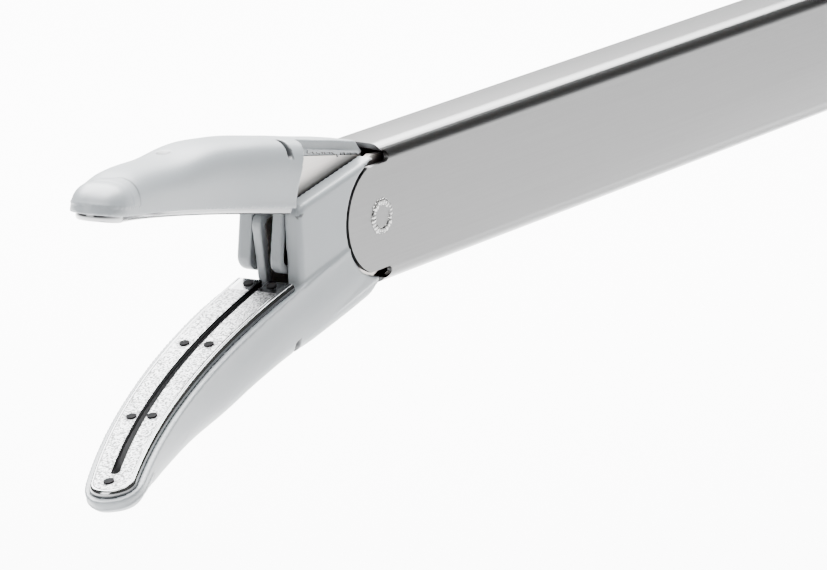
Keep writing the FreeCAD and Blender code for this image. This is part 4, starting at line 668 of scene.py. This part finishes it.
def seal_plate(jaw):
    """u runs along the slot's edge and v round the section. A point is a mix of the slot's edge and the
    plate's edge at u: near the slot at a fixed distance from one, at the rim at one from the other."""
    share, turn = np.linspace(0, 1, STEPS_ALONG), SLOT_END - SLOT_HALF
    slot = there_and_back(PLATE_BASE + share * (turn - PLATE_BASE), SLOT_HALF, turn, SLOT_HALF)
    edge = there_and_back(PLATE_BASE + share * (PLATE_SHOULDER - PLATE_BASE),
                          PLATE_HALF + share * (PLATE_HALF_TIP - PLATE_HALF), PLATE_SHOULDER, PLATE_HALF_TIP)
    width = np.linalg.norm(edge - slot, axis=1)[:, None]
    none, lip, inward = 0 * width, SLOT_LIP / width, 1 - SHEET_IN / width
    rim = 1 - RIM_SECTION[None, :, 0] / width
    face = lip + (rim[:, :1] - lip) * np.linspace(0, 1, STEPS_ACROSS + 2)[None, 1:-1]
    mix = np.concatenate([none, none, LIP_SHARE * lip, lip, face, rim, 1 + none, inward, inward], 1)
    depth = np.concatenate([SLOT_SECTION, np.full(STEPS_ACROSS, FACE_DEPTH), RIM_SECTION[:, 1],
                            [PLATE_FOOT, PLATE_FOOT, SHEET_FOOT]])
    place = slot[:, None] + (edge - slot)[:, None] * mix[..., None]
    run, off = place[..., 0], place[..., 1]
    deep = np.broadcast_to(depth, run.shape)
    places = on_jaw(jaw, run, off, deep)
    plate = surface(f"{jaw}_plate_skin", places, wrap=(False, True), caps=True, degrees=50)
    # The stipple covers the face only, and stops in front of the smooth pads at the base
    paint(plate, "stipple", (mix <= rim[:, :1] + TOUCH) & (mix >= lip) & (run > PAD_END))
    gap = np.min([np.hypot(run - stop_run, off - stop_off) for stop_run, stop_off in STOPS], 0)
    in_groove = np.clip((deep - GROOVE_FROM) / GROOVE_FADE, 0, 1) * (deep < GROOVE_TO) * (mix > 0.5)
    # Painted shade: a halo round each stop, the face darker towards the base, the slot's wall, the groove and
    # the rim's foot where it turns down into the plastic. The pads at the base are painted dark.
    shades = [
        PLATE_DARK["halo"] * np.clip((HALO - gap) / HALO_FADE, 0, 1),
        PLATE_DARK["pad"] * (run < PAD_END) * (np.abs(off) < PAD_HALF),
        PLATE_DARK["base"] * np.clip((DIM_TO - run) / DIM_FADE, 0, 1),
        PLATE_DARK["slot"] * (mix <= 0),
        PLATE_DARK["groove"] * in_groove,
        np.clip((deep - SKIRT_FROM) / SKIRT_FADE, 0, 1),
    ]
    paint(plate, "shade", np.max(shades, 0))
    return plate


for jaw in SIDE:
    dressed(seal_plate(jaw), f"{jaw}_seal_plate")

# %% [markdown]
# The pivot studs are welded into the ears. The weld is a ring of small overlapping beads, a little uneven,
# with the smooth end of the stud in a shallow dip inside it.

# %% Weld rings
EAR_SIDE, WELD_RADIUS, WELD_HALF, WELD_RISE = 3.05, 1.24, 0.31, 0.13
BEADS, BEAD_STEPS, SECTION_STEPS = 23, 12, 14
SWELL_LEAST, SWELL_MORE, SWELL_VARY, SHIFT_VARY = 0.72, 0.28, 0.1, 0.06


def weld_ring(side):
    """A flat ring: u goes round the stud and v round the bead's section. The beads are a wave along u whose
    height and place vary a little from bead to bead."""
    step = np.arange(BEADS * BEAD_STEPS)
    around = np.linspace(0, 2 * np.pi, len(step), endpoint=False)[:, None]
    bead, along_bead = step // BEAD_STEPS, (step % BEAD_STEPS) / BEAD_STEPS
    swell = SWELL_LEAST + SWELL_MORE * np.sin(np.pi * along_bead)
    swell = (swell + rng.uniform(-SWELL_VARY, SWELL_VARY, BEADS)[bead])[:, None]
    shift = rng.uniform(-SHIFT_VARY, SHIFT_VARY, BEADS)[bead][:, None]
    section = np.linspace(0, 2 * np.pi, SECTION_STEPS, endpoint=False)[None]
    reach = WELD_RADIUS + shift + WELD_HALF * swell * np.cos(section)
    rise = EAR_SIDE + WELD_RISE * swell * np.sin(section)
    places = MM * np.stack([reach * np.cos(around), side * rise, reach * np.sin(around)], -1)
    return surface(f"weld_ring_{'left' if side > 0 else 'right'}", places, wrap=(True, True), degrees=70)


for side in (1, -1):
    ring = weld_ring(side)
    ring.data.materials.append(LOOKS["weld"])
    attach(ring, body_of["pivot_studs"])

# %% [markdown]
# What is left needs only its finish. The insulators are carriers that show only in the gap between plate and
# cover, so they are only shaded smooth; their near-black is painted shade for that gap. Every other piece
# keeps the mesh that the CAD gives it.

# %% Insulators and the pieces that stay
for jaw in SIDE:
    insulator = smooth_by_angle(melted(f"{jaw}_insulator", 0.0), degrees=30)
    # Their finish is near-black, as painted shade for the gap and slot
    dressed(insulator, f"{jaw}_insulator", LOOKS["insulator"])
covered = set(EDGE_ROUND) | set(CONTROLS)
covered |= {f"{jaw}_{piece}" for jaw in SIDE for piece in ("jaw_cover", "seal_plate", "insulator")}
for node, piece in frame["nodes"].items():
    if node not in covered:
        piece.data.materials.clear()
        piece.data.materials.append(LOOKS[slot_of[node]])
print("dressed copies:", len(covered))
